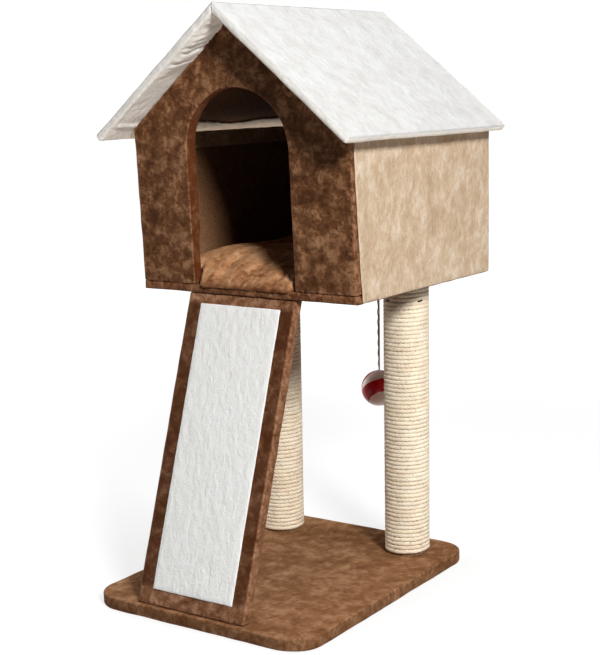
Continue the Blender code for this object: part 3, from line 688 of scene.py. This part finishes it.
def mark_edges(shape):
    """Notes how much the surface bends at each vertex, for the lighter pile and the painted highlight along
    edges.
    """
    shape.normal_update()

    def bend(vertex):
        normals = [face.normal for face in vertex.link_faces]
        widest = max((normals[0].angle(other, 0.0) for other in normals[1:]), default=0.0)
        return min(1.0, widest / radians(22))

    note(shape, "edge", bend)


def note_flat_pile_and_painted_shading(shape, share_at):
    """Notes at each place a share of a second tone, which is painted shade in most places and painted light
    under the roof.
    """
    note(shape, "flat_pile_and_painted_shading", lambda vertex: share_at(vertex.co))


def roughen(shape, amount, seed, size=BULGE_SIZE):
    """Pushes the surface in and out a little, as padded fabric on a board is never quite flat."""
    shape.normal_update()
    shift = Vector((seed, seed * 2.0, -seed))
    moves = [(vertex, vertex.normal * noise.noise(vertex.co / size + shift) * amount)
             for vertex in shape.verts]
    for vertex, move in moves:
        vertex.co += move


def pad(shape, directions, seed, pile=None, bulge=BULGE):
    """Cuts a cover evenly, notes its edges and where it takes a second tone (painted shade in places), and
    makes it bulge a little.
    """
    for direction in directions:
        cut_evenly(shape, direction)
    mark_edges(shape)
    if pile:
        note_flat_pile_and_painted_shading(shape, pile)
    roughen(shape, bulge, seed)


def make_piece(name, shape, slot, body=STAND, stands_for=(), finish=None, thickness=0.0, subdivide=0):
    """Turns a bmesh into a smooth piece, in its slot's finish or its own, which rides on a body if given."""
    for face in shape.faces:
        face.smooth = True
    piece = add_mesh(name, shape)
    piece.data.materials.append(finish or FINISHES[slot])
    if thickness:
        wall = piece.modifiers.new("thickness", "SOLIDIFY")
        wall.thickness = thickness
        wall.offset = -1.0
    if subdivide:
        finer = piece.modifiers.new("finer", "SUBSURF")
        finer.levels = subdivide
        finer.render_levels = subdivide
    if body:
        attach(piece, body)
    if stands_for:
        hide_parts(*stands_for)
    return piece


def make_cover(name, shape, slot, length, finish=None):
    """A cover's piece, of the fabric's thickness and stretched over its board, in place of the frame's
    cover.
    """
    cover = make_piece(name + "_plush", shape, slot, STAND, [name + "_cover"], finish, FABRIC)


def curve_mesh(points, radius=0.0, section=None, closed=False, turns=None, sides=2):
    """A mesh round a line of points: a round tube, or a section of its own that turns as it goes."""
    line = bpy.data.curves.new("line", "CURVE")
    line.dimensions = "3D"
    line.twist_mode = "Z_UP" if section else "MINIMUM"
    line.use_fill_caps = not closed
    spline = line.splines.new("POLY")
    spline.points.add(len(points) - 1)
    spline.use_cyclic_u = closed
    for index, (point, place) in enumerate(zip(spline.points, points)):
        point.co = (*place, 1.0)
        if turns:
            point.tilt = turns[index]
    helpers = [add_object("line", line)]
    if section:
        ring = bpy.data.curves.new("section", "CURVE")
        ring.dimensions = "2D"
        outline = ring.splines.new("POLY")
        outline.points.add(len(section) - 1)
        outline.use_cyclic_u = True
        for point, (across, up) in zip(outline.points, section):
            point.co = (across, up, 0.0, 1.0)
        helpers.append(add_object("section", ring))
        line.bevel_mode = "OBJECT"
        line.bevel_object = helpers[1]
    else:
        line.bevel_depth = radius
        line.bevel_resolution = sides
    mesh = result_of(helpers[0])
    for helper in helpers:
        bpy.data.objects.remove(helper, do_unlink=True)
    shape = bmesh.new()
    shape.from_mesh(mesh)
    bpy.data.meshes.remove(mesh)
    bmesh.ops.remove_doubles(shape, verts=shape.verts, dist=MERGE / 2)
    bmesh.ops.recalc_face_normals(shape, faces=shape.faces)
    return shape


# Hanging ball and its cord

def twisted_pair(length):
    """Two strands, one dark and one light, laid loosely round each other from the ground up."""
    shape = bmesh.new()
    layer = shape.verts.layers.float.new("strand")
    for sign, tone in ((-1, 0.0), (1, 1.0)):
        place = Matrix.Translation((sign * (CORD_DIAMETER / 2 - CORD_STRAND), 0, 0))
        made = bmesh.ops.create_circle(shape, cap_ends=True, radius=CORD_STRAND, segments=8, matrix=place)
        for vertex in made["verts"]:
            vertex[layer] = tone
    steps = round(length / CORD_STEP)
    twist = 2 * pi * length / CORD_LAY
    bmesh.ops.spin(shape, geom=everything(shape), axis=Z, dvec=(0, 0, length / steps), angle=twist,
                   steps=steps, use_merge=False)
    seen = Matrix.Rotation(CORD_FACING - twist / 2, 3, "Z")
    bmesh.ops.rotate(shape, matrix=seen, verts=shape.verts)
    for vertex in shape.verts:
        loose = 1.0 - vertex[layer]
        vertex.co += CORD_SWAY * loose * sin(2 * pi * vertex.co.z / CORD_SWAY_LENGTH)
    bmesh.ops.recalc_face_normals(shape, faces=shape.faces)
    return shape


def knot_shape(middle, turn):
    """A small overhand knot, pulled tight into a lump."""
    strand = KNOT_RADIUS * 0.36
    points = []
    for angle in angles(48):
        point = Vector((sin(angle) + 2 * sin(2 * angle), cos(angle) - 2 * cos(2 * angle),
                        -1.6 * sin(3 * angle)))
        points.append(Matrix.Rotation(turn, 3, "X") @ point * (KNOT_RADIUS - strand) / 3.0 + middle)
    return curve_mesh(points, radius=strand, closed=True, sides=1)


def make_toy():
    length = CORD_TOP - CORD_FOOT
    foot = (TOY_X, TOY_Y, CORD_FOOT)
    string = twisted_pair(length)
    bmesh.ops.translate(string, vec=foot, verts=string.verts)
    cord = make_piece("toy_cord_string", string, "elastic_cord", None, ["toy_cord"])
    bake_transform(cord)

    ring = [(TOY_X, TOY_Y + LOOP_RADIUS * sin(angle), LOOP_Z + LOOP_RADIUS * cos(angle))
            for angle in angles(40)]
    loop = make_piece("toy_cord_ring", curve_mesh(ring, radius=LOOP_WIRE, closed=True), "elastic_cord",
                      "toy_loop", ["toy_cord_loop"])
    for name, node, body, turn in (("toy_upper_knot", "toy_cord_knot", "toy_loop", 0.4),
                                   ("toy_lower_knot", "toy_ball_knot", "toy_knot", 1.9)):
        low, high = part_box(node)
        knot = knot_shape((low + high) / 2, turn)
        make_piece(name, knot, "elastic_cord", body, [node])

    # The ball is a thin shell with a small hole for the cord at its top
    ball = bmesh.new()
    bmesh.ops.create_uvsphere(ball, u_segments=48, v_segments=32, radius=BALL_RADIUS)
    cut_at(ball, Z, [sqrt(BALL_RADIUS ** 2 - (BALL_HOLE / 2) ** 2)])
    remove_faces(ball, lambda face: face.calc_center_median().z > BALL_RADIUS - BALL_HOLE * 0.03)
    bmesh.ops.translate(ball, vec=BALL_MIDDLE, verts=ball.verts)
    make_piece("toy_ball_shell", ball, "ball_plastic", "toy_ball", ["toy_ball"], thickness=BALL_WALL)


# Base and ramp

def make_base():
    side = BASE_WIDTH / 2
    end = BASE_DEPTH / 2
    shape = box((-side, BASE_MIDDLE - end, 0), (side, BASE_MIDDLE + end, BASE_TOP))
    round_edges(shape, BASE_CORNER, 12, lambda edge: highest(edge, 2) - lowest(edge, 2) > BASE_TOP / 2)
    shape.normal_update()
    open_window(shape, -Z, BASE_HEM)
    round_edges(shape, SOFT_EDGE)
    # Painted shade on the base's sides, between its foot and its top.
    pad(shape, (X, Y), 1.0, lambda place: 0.4 * (MARGIN < place.z < BASE_TOP - FABRIC))
    for vertex in shape.verts:
        vertex.co.z = max(vertex.co.z, 0.0)
    turned = 2 * (BASE_TOP + BASE_HEM)
    make_cover("base", shape, "brown_plush", BASE_DEPTH + turned, base_plush())


def ramp_darkening(place):
    """Darker along the rails beside the panel, and painted shade where the foot meets the base."""
    along = (place.z - BASE_TOP) / sin(RAMP_ANGLE)
    level = PANEL_BELOW < along < RAMP_LENGTH - PANEL_ABOVE
    beside = abs(place.x - PANEL_X) > PANEL_WIDTH / 2 - MARGIN
    on_face = abs(place.x - RAMP_X) < RAMP_WIDTH / 2 - 2 * MARGIN
    return 0.9 * (along < 0.003 or level and beside and on_face)


def make_ramp():
    left = RAMP_X - RAMP_WIDTH / 2
    low = BASE_TOP + GAP
    high = FLOOR_HEIGHT - GAP
    points = []
    for depth, heights in ((0.0, (low, high)), (RAMP_THICKNESS, (high, low))):
        for height in heights:
            run = (height - BASE_TOP) / tan(RAMP_ANGLE)
            points.append((left, RAMP_FOOT + run + depth / sin(RAMP_ANGLE), height))
    shape = slab(points, X * RAMP_WIDTH)
    round_edges(shape, SOFT_EDGE)
    slope = Vector((0, cos(RAMP_ANGLE), sin(RAMP_ANGLE)))
    pad(shape, (slope, X), 2.0, ramp_darkening)
    make_cover("ramp", shape, "brown_plush",
               RAMP_LENGTH + 2 * RAMP_THICKNESS, ramp_plush())

    panel = box((PANEL_X - PANEL_WIDTH / 2, PANEL_BELOW, -GAP),
                (PANEL_X + PANEL_WIDTH / 2, RAMP_LENGTH - PANEL_ABOVE, PANEL_THICKNESS))
    round_edges(panel, PANEL_EDGE, 2, lambda edge: sharp(edge) and highest(edge, 2) > 0)
    pad(panel, (X, Y), 3.0, bulge=0.0004)
    outward = Vector((0, -sin(RAMP_ANGLE), cos(RAMP_ANGLE)))
    plane = Matrix((X, slope, outward)).transposed().to_4x4()
    plane = Matrix.Translation(Vector((0, RAMP_FOOT, BASE_TOP)) + outward * GAP) @ plane
    bmesh.ops.transform(panel, matrix=plane, verts=panel.verts)
    mat = make_piece("ramp_carpet", panel, "light_carpet", STAND, ["ramp_panel"])


# House

def under_roof(x):
    return ROOF_RIDGE - (ROOF_THICKNESS + GAP) / cos(PITCH) - tan(PITCH) * abs(x)


def floor_darkening(place):
    """Darker under and round the edge of the floor's cover, and on its top, where the cushion lies."""
    return 0.45 * (place.z < FLOOR_TOP - FABRIC) + 0.5 * (place.z > FLOOR_TOP - MARGIN)


def make_floor():
    side = HOUSE_WIDTH / 2
    back = REAR_FACE - WRAP
    step = HOUSE_FRONT + FRONT_THICKNESS
    middle = HOUSE_FRONT + FRONT_THICKNESS / 2
    thick = FLOOR_TOP - FLOOR_HEIGHT
    inset = side - WRAP
    points = [(-side, HOUSE_FRONT), (side, HOUSE_FRONT), (side, step), (inset, step), (inset, back),
              (-inset, back), (-inset, step), (-side, step)]
    shape = slab([(x, y, FLOOR_HEIGHT) for x, y in points], Z * thick)
    round_edges(shape, SOFT_EDGE, 3, lambda edge: sharp(edge) and highest(edge, 1) < middle)
    pad(shape, (X, Y), 4.0, floor_darkening, bulge=0.0005)
    make_cover("floor", shape, "brown_plush", 2 * (back - HOUSE_FRONT + thick))


def front_outline():
    """The front wall from its foot: a gable with an arched door."""
    stretch = 1 / cos(FRONT_LEAN)
    tilt = FRONT_THICKNESS * sin(FRONT_LEAN)
    side = HOUSE_WIDTH / 2
    edge = (tilt + GAP) / cos(PITCH)
    foot = FLOOR_TOP + GAP
    shoulder = (under_roof(side) - edge - foot) * stretch
    apex = (under_roof(0.0) - edge - foot) * stretch
    points = [(DOOR_X - DOOR_RADIUS, 0), (-side, 0), (-side, shoulder), (0, apex), (side, shoulder),
              (side, 0), (DOOR_X + DOOR_RADIUS, 0)]
    for index in range(29):
        angle = pi * index / 28
        points.append((DOOR_X + DOOR_RADIUS * cos(angle), DOOR_SPRING + DOOR_RADIUS * sin(angle)))
    return points


def beyond_door(across, height):
    """How far a point of the front wall lies outside the door's edge."""
    return hypot(across - DOOR_X, max(0.0, height - DOOR_SPRING)) - DOOR_RADIUS


def make_front_wall():
    outline = front_outline()
    shape = slab([(x, y, -FRONT_THICKNESS) for x, y in outline], Z * FRONT_THICKNESS)
    open_window(shape, -Z, HEM_WIDTH)
    round_edges(shape, SOFT_EDGE * 0.75)
    cut_evenly(shape, X, FRONT_GRID)
    cut_evenly(shape, Y, FRONT_GRID)
    mark_edges(shape)
    # Painted shade in the door's reveal, behind the front face.
    note_flat_pile_and_painted_shading(shape, lambda place: float(beyond_door(place.x, place.y) < DOOR_LIP and place.z < -MARGIN))
    for vertex in shape.verts:
        beyond = beyond_door(vertex.co.x, vertex.co.y)
        if vertex.co.z < ROLL_LAYER - FRONT_THICKNESS and beyond < HEM_WIDTH:
            fade_in = clamp((vertex.co.y - ROLL_START) / ROLL_FADE)
            vertex.co.z -= HEM_ROLL * fade_in * (1 - max(0.0, beyond) / HEM_WIDTH) ** 0.6
    roughen(shape, 0.0007, 5.0)
    bmesh.ops.transform(shape, matrix=FRONT_PLANE, verts=shape.verts)
    turned = 2 * (FRONT_THICKNESS + HEM_WIDTH)
    tallest = max(height for across, height in outline)
    make_cover("front_wall", shape, "brown_plush", tallest + turned)


def lap_over_front(shape, outer):
    """Draws the outer sheet's front edge on over the front wall's edge, further at the top than below."""
    joint = HOUSE_FRONT + FRONT_THICKNESS
    for vertex in shape.verts:
        if vertex.co.x > outer - LAP_NEAR:
            vertex.co.x += LAP_PROUD * clamp(1 - (vertex.co.y - joint) / LAP_FADE)
    rim = [edge for edge in shape.edges if edge.is_boundary and lowest(edge, 0) > outer - LAP_NEAR
           and highest(edge, 1) < joint + LAP_RIM and highest(edge, 2) - lowest(edge, 2) > MARGIN]
    foot = min(lowest(edge, 2) for edge in rim)
    for step in range(3):
        made = bmesh.ops.extrude_edge_only(shape, edges=rim)["geom"]
        rim = [item for item in made if isinstance(item, bmesh.types.BMEdge)]
        for vertex in [item for item in made if isinstance(item, bmesh.types.BMVert)]:
            rise = (vertex.co.z - foot) / (WALL_TOP - foot)
            wave = waver(0, 0, vertex.co.z / 0.018) * 0.0008
            vertex.co.y -= (LAP_LEAST + LAP_GROWTH * min(1.0, rise * 1.35) ** 0.8 + wave) / 3
    bmesh.ops.recalc_face_normals(shape, faces=shape.faces)


def make_side_wall(side, sign):
    """A low wall's cover: an outer sheet, folded over the wall's top and back edge."""
    fold = SIDE_INNER - WRAP
    outer = HOUSE_WIDTH / 2
    fold_foot = WALL_TOP - WALL_FOLD
    shape = box((fold, HOUSE_FRONT, FLOOR_HEIGHT), (outer, HOUSE_BACK, WALL_TOP))
    round_edges(shape, SOFT_EDGE, 3, lambda edge: sharp(edge) and lowest(edge, 2) > FLOOR_HEIGHT - GAP
                and lowest(edge, 1) > HOUSE_FRONT - GAP)
    wall_back = FRONT_PLANE @ Vector((0, 0, -FRONT_THICKNESS - GAP))
    bmesh.ops.bisect_plane(shape, geom=everything(shape), dist=MERGE, plane_co=wall_back,
                           plane_no=FRONT_PLANE.to_3x3() @ Z, clear_outer=True)
    cut_at(shape, Z, [fold_foot])
    shape.normal_update()

    def bare(face):
        middle = face.calc_center_median()
        return middle.x < fold + FABRIC and middle.y < HOUSE_BACK - SOFT_EDGE and middle.z < fold_foot

    remove_faces(shape, bare)
    pad(shape, (Y, Z), 6.0)
    lap_over_front(shape, outer)
    if sign < 0:
        bmesh.ops.scale(shape, vec=(-1, 1, 1), verts=shape.verts)
        bmesh.ops.reverse_faces(shape, faces=shape.faces)
    turned = 2 * (outer - fold)
    make_cover(side + "_wall", shape, "beige_plush",
               WALL_TOP - FLOOR_HEIGHT + turned + WALL_FOLD)


def make_rear_wall():
    side = SIDE_INNER - GAP
    low = FLOOR_HEIGHT
    eave = under_roof(side)
    points = [(-side, low), (-side, eave), (0, under_roof(0)), (side, eave), (side, low)]
    shape = slab([(x, REAR_FACE, z) for x, z in points], -Y * REAR_THICKNESS)
    open_window(shape, -Y, REAR_HEM)
    round_edges(shape, SOFT_EDGE * 0.8)
    pad(shape, (X, Z), 7.0)
    turned = 2 * (REAR_THICKNESS + REAR_HEM)
    make_cover("rear_wall", shape, "beige_plush", under_roof(0) - low + turned)


def roof_points(sign):
    fall = tan(PITCH)
    bottom = ROOF_RIDGE - ROOF_THICKNESS / cos(PITCH)
    ridge = GAP / 2
    eave = Vector((ROOF_WIDTH / 2, ROOF_EAVE))
    lower = eave + Vector((-sin(PITCH), -cos(PITCH))) * ROOF_THICKNESS
    points = [(ridge, ROOF_RIDGE - fall * ridge), eave, lower, (ridge, bottom - fall * ridge)]
    return [(sign * x, ROOF_FRONT, z) for x, z in points]


def pleat(travel, depth):
    """How far the gathered fabric under the roof's end hangs down, along the slope and from the front."""
    slant = travel + 0.55 * depth
    sway = waver(travel / 0.03, depth / 0.03, 3.1) * 0.006
    near = abs(waver((slant + sway) / PLEAT_SPACING, depth / 0.09, 7.7))
    close = abs(waver((slant + sway * 0.4) / TUCK_SPACING, depth / 0.04, 2.2))
    gathers = 1.0 - min(1.0, near * 2.2)
    fine = (1.0 - min(1.0, close * 2.0)) * max(0.0, 1.0 - depth / 0.022)
    upper = clamp((PLEATS_END - slant) / 0.03)
    fold = 0.7 * exp(-((travel - EAVE_FOLD) / 0.0035) ** 2)
    belly = 0.35 * exp(-((travel - 0.085) / 0.05) ** 2)
    return upper * (0.75 * gathers + 0.3 * fine + belly) + fold + 0.10 * gathers


def eave_hem(depth):
    """How wide the hem along the eave is at a depth, as a share of its plain width."""
    short = 0.22 * exp(-((depth - 0.315) / 0.055) ** 2)
    ragged = sum(waver(depth / size, 0, seed) * 0.05 for size, seed in ((0.006, 5.0), (0.02, 9.0)))
    return 1.02 - short + ragged


def make_roof_panel(side, sign):
    down = Vector((sign * cos(PITCH), 0, -sin(PITCH)))
    outward = Vector((sign * sin(PITCH), 0, cos(PITCH)))
    slope = ROOF_WIDTH / 2 / cos(PITCH)
    origin = Vector((sign * ROOF_WIDTH / 2, 0, ROOF_EAVE)).dot(down) - slope
    hem_low = origin + ROOF_EAVE_HEM
    hem_high = origin + slope - ROOF_EAVE_HEM
    hem_front = ROOF_FRONT + ROOF_END_HEM
    hem_back = ROOF_BACK - ROOF_REAR_HEM

    shape = slab(roof_points(sign), Y * (ROOF_BACK - ROOF_FRONT))
    round_edges(shape, ROOF_EDGE, 3, lambda edge: sharp(edge)
                and max(abs(vertex.co.x) for vertex in edge.verts) > MARGIN)
    cut_at(shape, down, [hem_low, hem_high])
    cut_at(shape, Y, [hem_front, hem_back])
    cut_evenly(shape, down, 0.0024)
    cut_at(shape, Y, even_steps(ROOF_FRONT, hem_front, 0.004))
    cut_at(shape, Y, even_steps(hem_front, ROOF_BACK, 0.006))
    mark_edges(shape)
    top_side = Vector((0, 0, ROOF_RIDGE)).dot(outward)
    # Painted light: a lighter tone everywhere but the top, most of all on the underside.
    note_flat_pile_and_painted_shading(shape, lambda place: float(place.dot(outward) < top_side - 0.003))

    def bare(face):
        middle = face.calc_center_median()
        return hem_low < middle.dot(down) < hem_high and hem_front < middle.y < hem_back

    under = [face for face in shape.faces if face.normal.dot(outward) < -0.95]
    gone = [face for face in under if bare(face)]
    roughen(shape, 0.0008, 8.0, 0.035)
    for vertex in {vertex for face in under for vertex in face.verts}:
        travel = vertex.co.dot(down) - origin
        depth = vertex.co.y - ROOF_FRONT
        left = slope - travel
        grow = clamp((depth - 0.0035) / 0.012)
        fade_out = clamp((ROOF_END_HEM - depth) / 0.010)
        rim = clamp(min(travel - 0.004, left - 0.006) / 0.015)
        vertex.co -= outward * PLEAT_DEPTH * grow * fade_out * rim * pleat(travel, depth)
        if depth > ROOF_END_HEM and left < ROOF_EAVE_HEM + MARGIN:
            wrinkle = waver((travel - 0.8 * depth) / 0.006, depth / 0.05, 4.4)
            vertex.co -= outward * WRINKLE_DEPTH * max(0.0, wrinkle) * min(1.0, left / 0.01)
            vertex.co -= down * left * (eave_hem(depth) - 1.0)
    bmesh.ops.delete(shape, geom=gone, context="FACES")
    make_cover(side + "_roof", shape, "white_plush",
               ROOF_BACK - ROOF_FRONT + 2 * ROOF_THICKNESS + ROOF_END_HEM + ROOF_REAR_HEM)


# Posts

def rope_section():
    """The outline of a rope of three strands."""
    outline = []
    for angle in angles(ROPE_SIDES):
        radius = ROPE_RADIUS * (0.80 + 0.20 * abs(cos(1.5 * angle)))
        outline.append((radius * cos(angle), radius * sin(angle)))
    return outline


def press_grooves(shape, post_x):
    """Makes the grooves between the turns shallow, as where tight rope is squeezed flat, and notes them for
    the painted shade there.
    """
    groove = shape.verts.layers.float.new("groove")
    axis = Vector((post_x, POST_Y, 0))
    for vertex in shape.verts:
        out = vertex.co - axis
        out.z = 0.0
        deep = ROPE_REACH + ROPE_RADIUS - out.length
        if deep > ROPE_CREST:
            squeeze = 0.85 * min(deep - ROPE_CREST, 2 * ROPE_RADIUS - deep)
            vertex.co += out.normalized() * min(ROPE_SQUEEZE, max(0.0, squeeze))
        vertex[groove] = clamp((deep - ROPE_CREST) / ROPE_GROOVE)


def make_winding(side, start_degrees, seed):
    """Rope wound from the post's foot to its head, with its cut end left standing out at the foot."""
    post_x = POSTS[side]
    low = POST_FOOT + ROPE_RADIUS
    count = int((POST_TOP - ROPE_RADIUS - low) / ROPE_PITCH * ROPE_STEPS)
    start = radians(start_degrees)
    points = []
    for index in range(count + 1):
        turn = index / ROPE_STEPS
        angle = start + 2 * pi * turn
        wander = waver(cos(angle) * 2, sin(angle) * 2, turn * 0.9 + seed)
        reach = ROPE_REACH + wander * ROPE_WANDER
        height = low + ROPE_PITCH * turn + wander * ROPE_DRIFT * min(1.0, index / 20, (count - index) / 20)
        points.append(Vector((post_x + reach * cos(angle), POST_Y + reach * sin(angle), height)))
    back = (points[0] - points[1]).normalized()
    out = Vector((cos(start), sin(start), 0))
    stub = [points[0] + back * ROPE_END * step + out * ROPE_FLARE * step * step for step in (3, 2, 1)]
    points = stub + points
    travel = 0.0
    turns = []
    for previous, point in zip(points[:1] + points, points):
        travel += (point - previous).length
        turns.append(travel / ROPE_LAY % 1.0 * 2 * pi)
    shape = curve_mesh(points, section=rope_section(), turns=turns)
    shape.verts.index_update()
    around = 3 * pi / ROPE_SIDES
    # Notes the valleys between the strands, for the painted shade there.
    note(shape, "valley", lambda vertex: 1.0 - abs(cos(around * (vertex.index % ROPE_SIDES))))
    press_grooves(shape, post_x)
    make_piece(side + "_post_winding", shape, "sisal", STAND,
               [side + "_post_rope", side + "_post_rope_turns"])


def make_staples():
    """Two wire staples that hold the rope's upper end on the right post."""
    wire = staple_wire()
    for name, degrees in (("left", -113.0), ("right", -23.5)):
        angle = radians(degrees)
        out = Vector((cos(angle), sin(angle), 0))
        along = Vector((-sin(angle), cos(angle), 0.25)).normalized()
        crown = Vector((POSTS["right"], POST_Y, STAPLE_Z)) + out * (ROPE_REACH + ROPE_RADIUS + STAPLE_PROUD)
        points = [crown + along * sign * aside - out * inwards
                  for sign, half in ((-1, STAPLE_HALF), (1, STAPLE_HALF[::-1])) for aside, inwards in half]
        make_piece("post_staple_" + name, curve_mesh(points, radius=STAPLE_WIRE), "zinc_steel", finish=wire)


# Cushion

def cushion_start():
    """A flat pillow that is slightly smaller than the filled one: seam all round, corners cut round."""
    low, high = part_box("cushion")
    middle = (low + high) / 2
    half_width = (high.x - low.x) / 2 - CUSHION_SLACK
    half_depth = (high.y - low.y) / 2 - CUSHION_SLACK
    shape = bmesh.new()
    bmesh.ops.create_cube(shape, size=2.0)
    bmesh.ops.subdivide_edges(shape, edges=shape.edges, cuts=27, use_grid_fill=True)
    for vertex in shape.verts:
        across, depth, up = vertex.co
        fill = sqrt(max(0.0, (1 - across ** 6) * (1 - depth ** 6)))
        width = half_width - CUSHION_WAIST * (1 - depth ** 2)
        length = half_depth - CUSHION_WAIST * (1 - across ** 2)
        rise = CUSHION_CROWN if up > 0 else CUSHION_BELLY
        vertex.co = (across * width, middle.y + depth * length,
                     CUSHION_SEAM + up * rise * (0.10 + 0.62 * fill))
    return shape


def puff_up(shape, pinned):
    """Fills a closed shape like a pillow by cloth simulation, and gives its new shape."""
    pillow = add_mesh("pillow", shape)
    remesh = pillow.modifiers.new("remesh", "REMESH")
    remesh.mode = "VOXEL"
    remesh.voxel_size = CUSHION_VOXEL
    even = result_of(pillow)
    pillow.modifiers.clear()
    pillow.data = even
    before = [vertex.co.copy() for vertex in even.vertices]
    held = pillow.vertex_groups.new(name="seam")
    held.add([index for index, place in enumerate(before) if pinned(place)], 1.0, "REPLACE")
    cloth = pillow.modifiers.new("cloth", "CLOTH")
    for name, value in {"quality": 6, "mass": 0.25, "tension_stiffness": 12.0, "compression_stiffness": 6.0,
                        "shear_stiffness": 4.0, "bending_stiffness": 0.35, "use_pressure": True,
                        "uniform_pressure_force": CUSHION_PRESSURE, "shrink_min": -0.03,
                        "vertex_group_mass": "seam"}.items():
        setattr(cloth.settings, name, value)
    cloth.settings.effector_weights.gravity = 0.0
    cloth.collision_settings.use_collision = False
    cloth.point_cache.frame_start = 1
    cloth.point_cache.frame_end = CLOTH_FRAMES
    for frame_number in range(1, CLOTH_FRAMES + 1):
        bpy.context.scene.frame_set(frame_number)
    filled = result_of(pillow)
    for vertex, start in zip(filled.vertices, before):
        move = vertex.co - start
        if move.length > CUSHION_CAP:
            vertex.co = start + move.normalized() * CUSHION_CAP
    made = bmesh.new()
    made.from_mesh(filled)
    bpy.data.objects.remove(pillow, do_unlink=True)
    bpy.context.scene.frame_set(1)
    return made


def cushion_foot_shade(place):
    """Painted shade in ragged tufts along the foot of the swelling in the doorway, where it meets the sill.
    """
    if place.y > HOUSE_FRONT + FOOT_SHADE_DEPTH:
        return 0.0
    ragged = 1.0 + 1.6 * noise.noise(place / 0.007)
    return min(0.9, max(0.0, 1.0 - (place.z - FLOOR_TOP) / (FOOT_SHADE_RISE * max(0.2, ragged))))


def swell_over_sill(place, front):
    """Lets a point of the cushion swell in the doorway, up to the sill's front and the door's sides."""
    aside = abs(place.x - DOOR_X)
    rise = place.z - CUSHION_SEAM
    swell = clamp((SWELL_HALF - aside) / SWELL_FADE)
    swell = swell * swell * (3 - 2 * swell)
    settle = clamp((SAG_HALF - aside) / SAG_FADE)
    near = clamp(1.0 - (place.y - front - SWELL_START) / SWELL_DEPTH)
    pucker = abs(waver(place.x / 0.011, place.z / 0.03, 6.0)) * max(0.0, 1.0 - abs(rise) / 0.024)
    sag = DOOR_SAG * settle * near * clamp(1.0 - rise / SAG_FADE)
    place.y -= DOOR_SWELL * swell * near
    place.z = max(place.z - sag, FLOOR_TOP + GAP)
    tuft = waver(place.x / TUFT_SIZE, place.z / TUFT_SIZE, 2.0) * TUFT_DEPTH
    corner = clamp(1.0 - (DOOR_HALF - aside) / CORNER_ROUND)
    stop = (HOUSE_FRONT - SILL_PROUD + tuft + SILL_SLOPE * (place.z - FLOOR_TOP) + PUCKER_DEPTH * pucker
            + CORNER_BACK * corner)
    if place.y < stop:
        place.y = stop - SOFT_STOP * (1 - exp((place.y - stop) / SOFT_STOP))
    if aside > DOOR_HALF:
        place.y = max(place.y, HOUSE_FRONT + FRONT_THICKNESS + 0.0005)
    over = clamp((HOUSE_FRONT - 0.0002 - place.y) / 0.002)
    place.z -= SILL_DROP * over * clamp(1.0 - (place.z - FLOOR_TOP) / 0.030)


def make_cushion():
    low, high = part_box("cushion")
    edge_x = high.x - SEAM_SIDE
    front = low.y + SEAM_END
    back = high.y - SEAM_END

    def on_seam(place):
        outside = abs(place.x) > edge_x or not front < place.y < back
        return outside and abs(place.z - CUSHION_SEAM) < SEAM_BAND

    shape = puff_up(cushion_start(), on_seam)
    low.z = FLOOR_TOP + GAP
    for vertex in shape.verts:
        for axis in range(3):
            vertex.co[axis] = min(max(vertex.co[axis], low[axis]), high[axis])
        swell_over_sill(vertex.co, low.y)
    mark_edges(shape)
    note_flat_pile_and_painted_shading(shape, cushion_foot_shade)
    piece = make_piece("cushion_plush", shape, "brown_plush", "cushion", ["cushion"], cushion_plush(),
                       subdivide=1)


# The frame's own nodes, and the assembly

def dress_nodes():
    for node in NODES.values():
        for place in node.material_slots:
            if place.material:
                place.material = FINISHES[place.material.name.split(".")[0]]


def build():
    make_camera()
    make_toy()
    make_studio()
    make_base()
    make_ramp()
    make_floor()
    make_front_wall()
    make_rear_wall()
    for side, sign in (("left", -1), ("right", 1)):
        make_side_wall(side, sign)
        make_roof_panel(side, sign)
    make_winding("right", 62.0, 0.0)
    make_winding("left", 100.0, 40.0)
    make_staples()
    make_cushion()
    dress_nodes()


build()
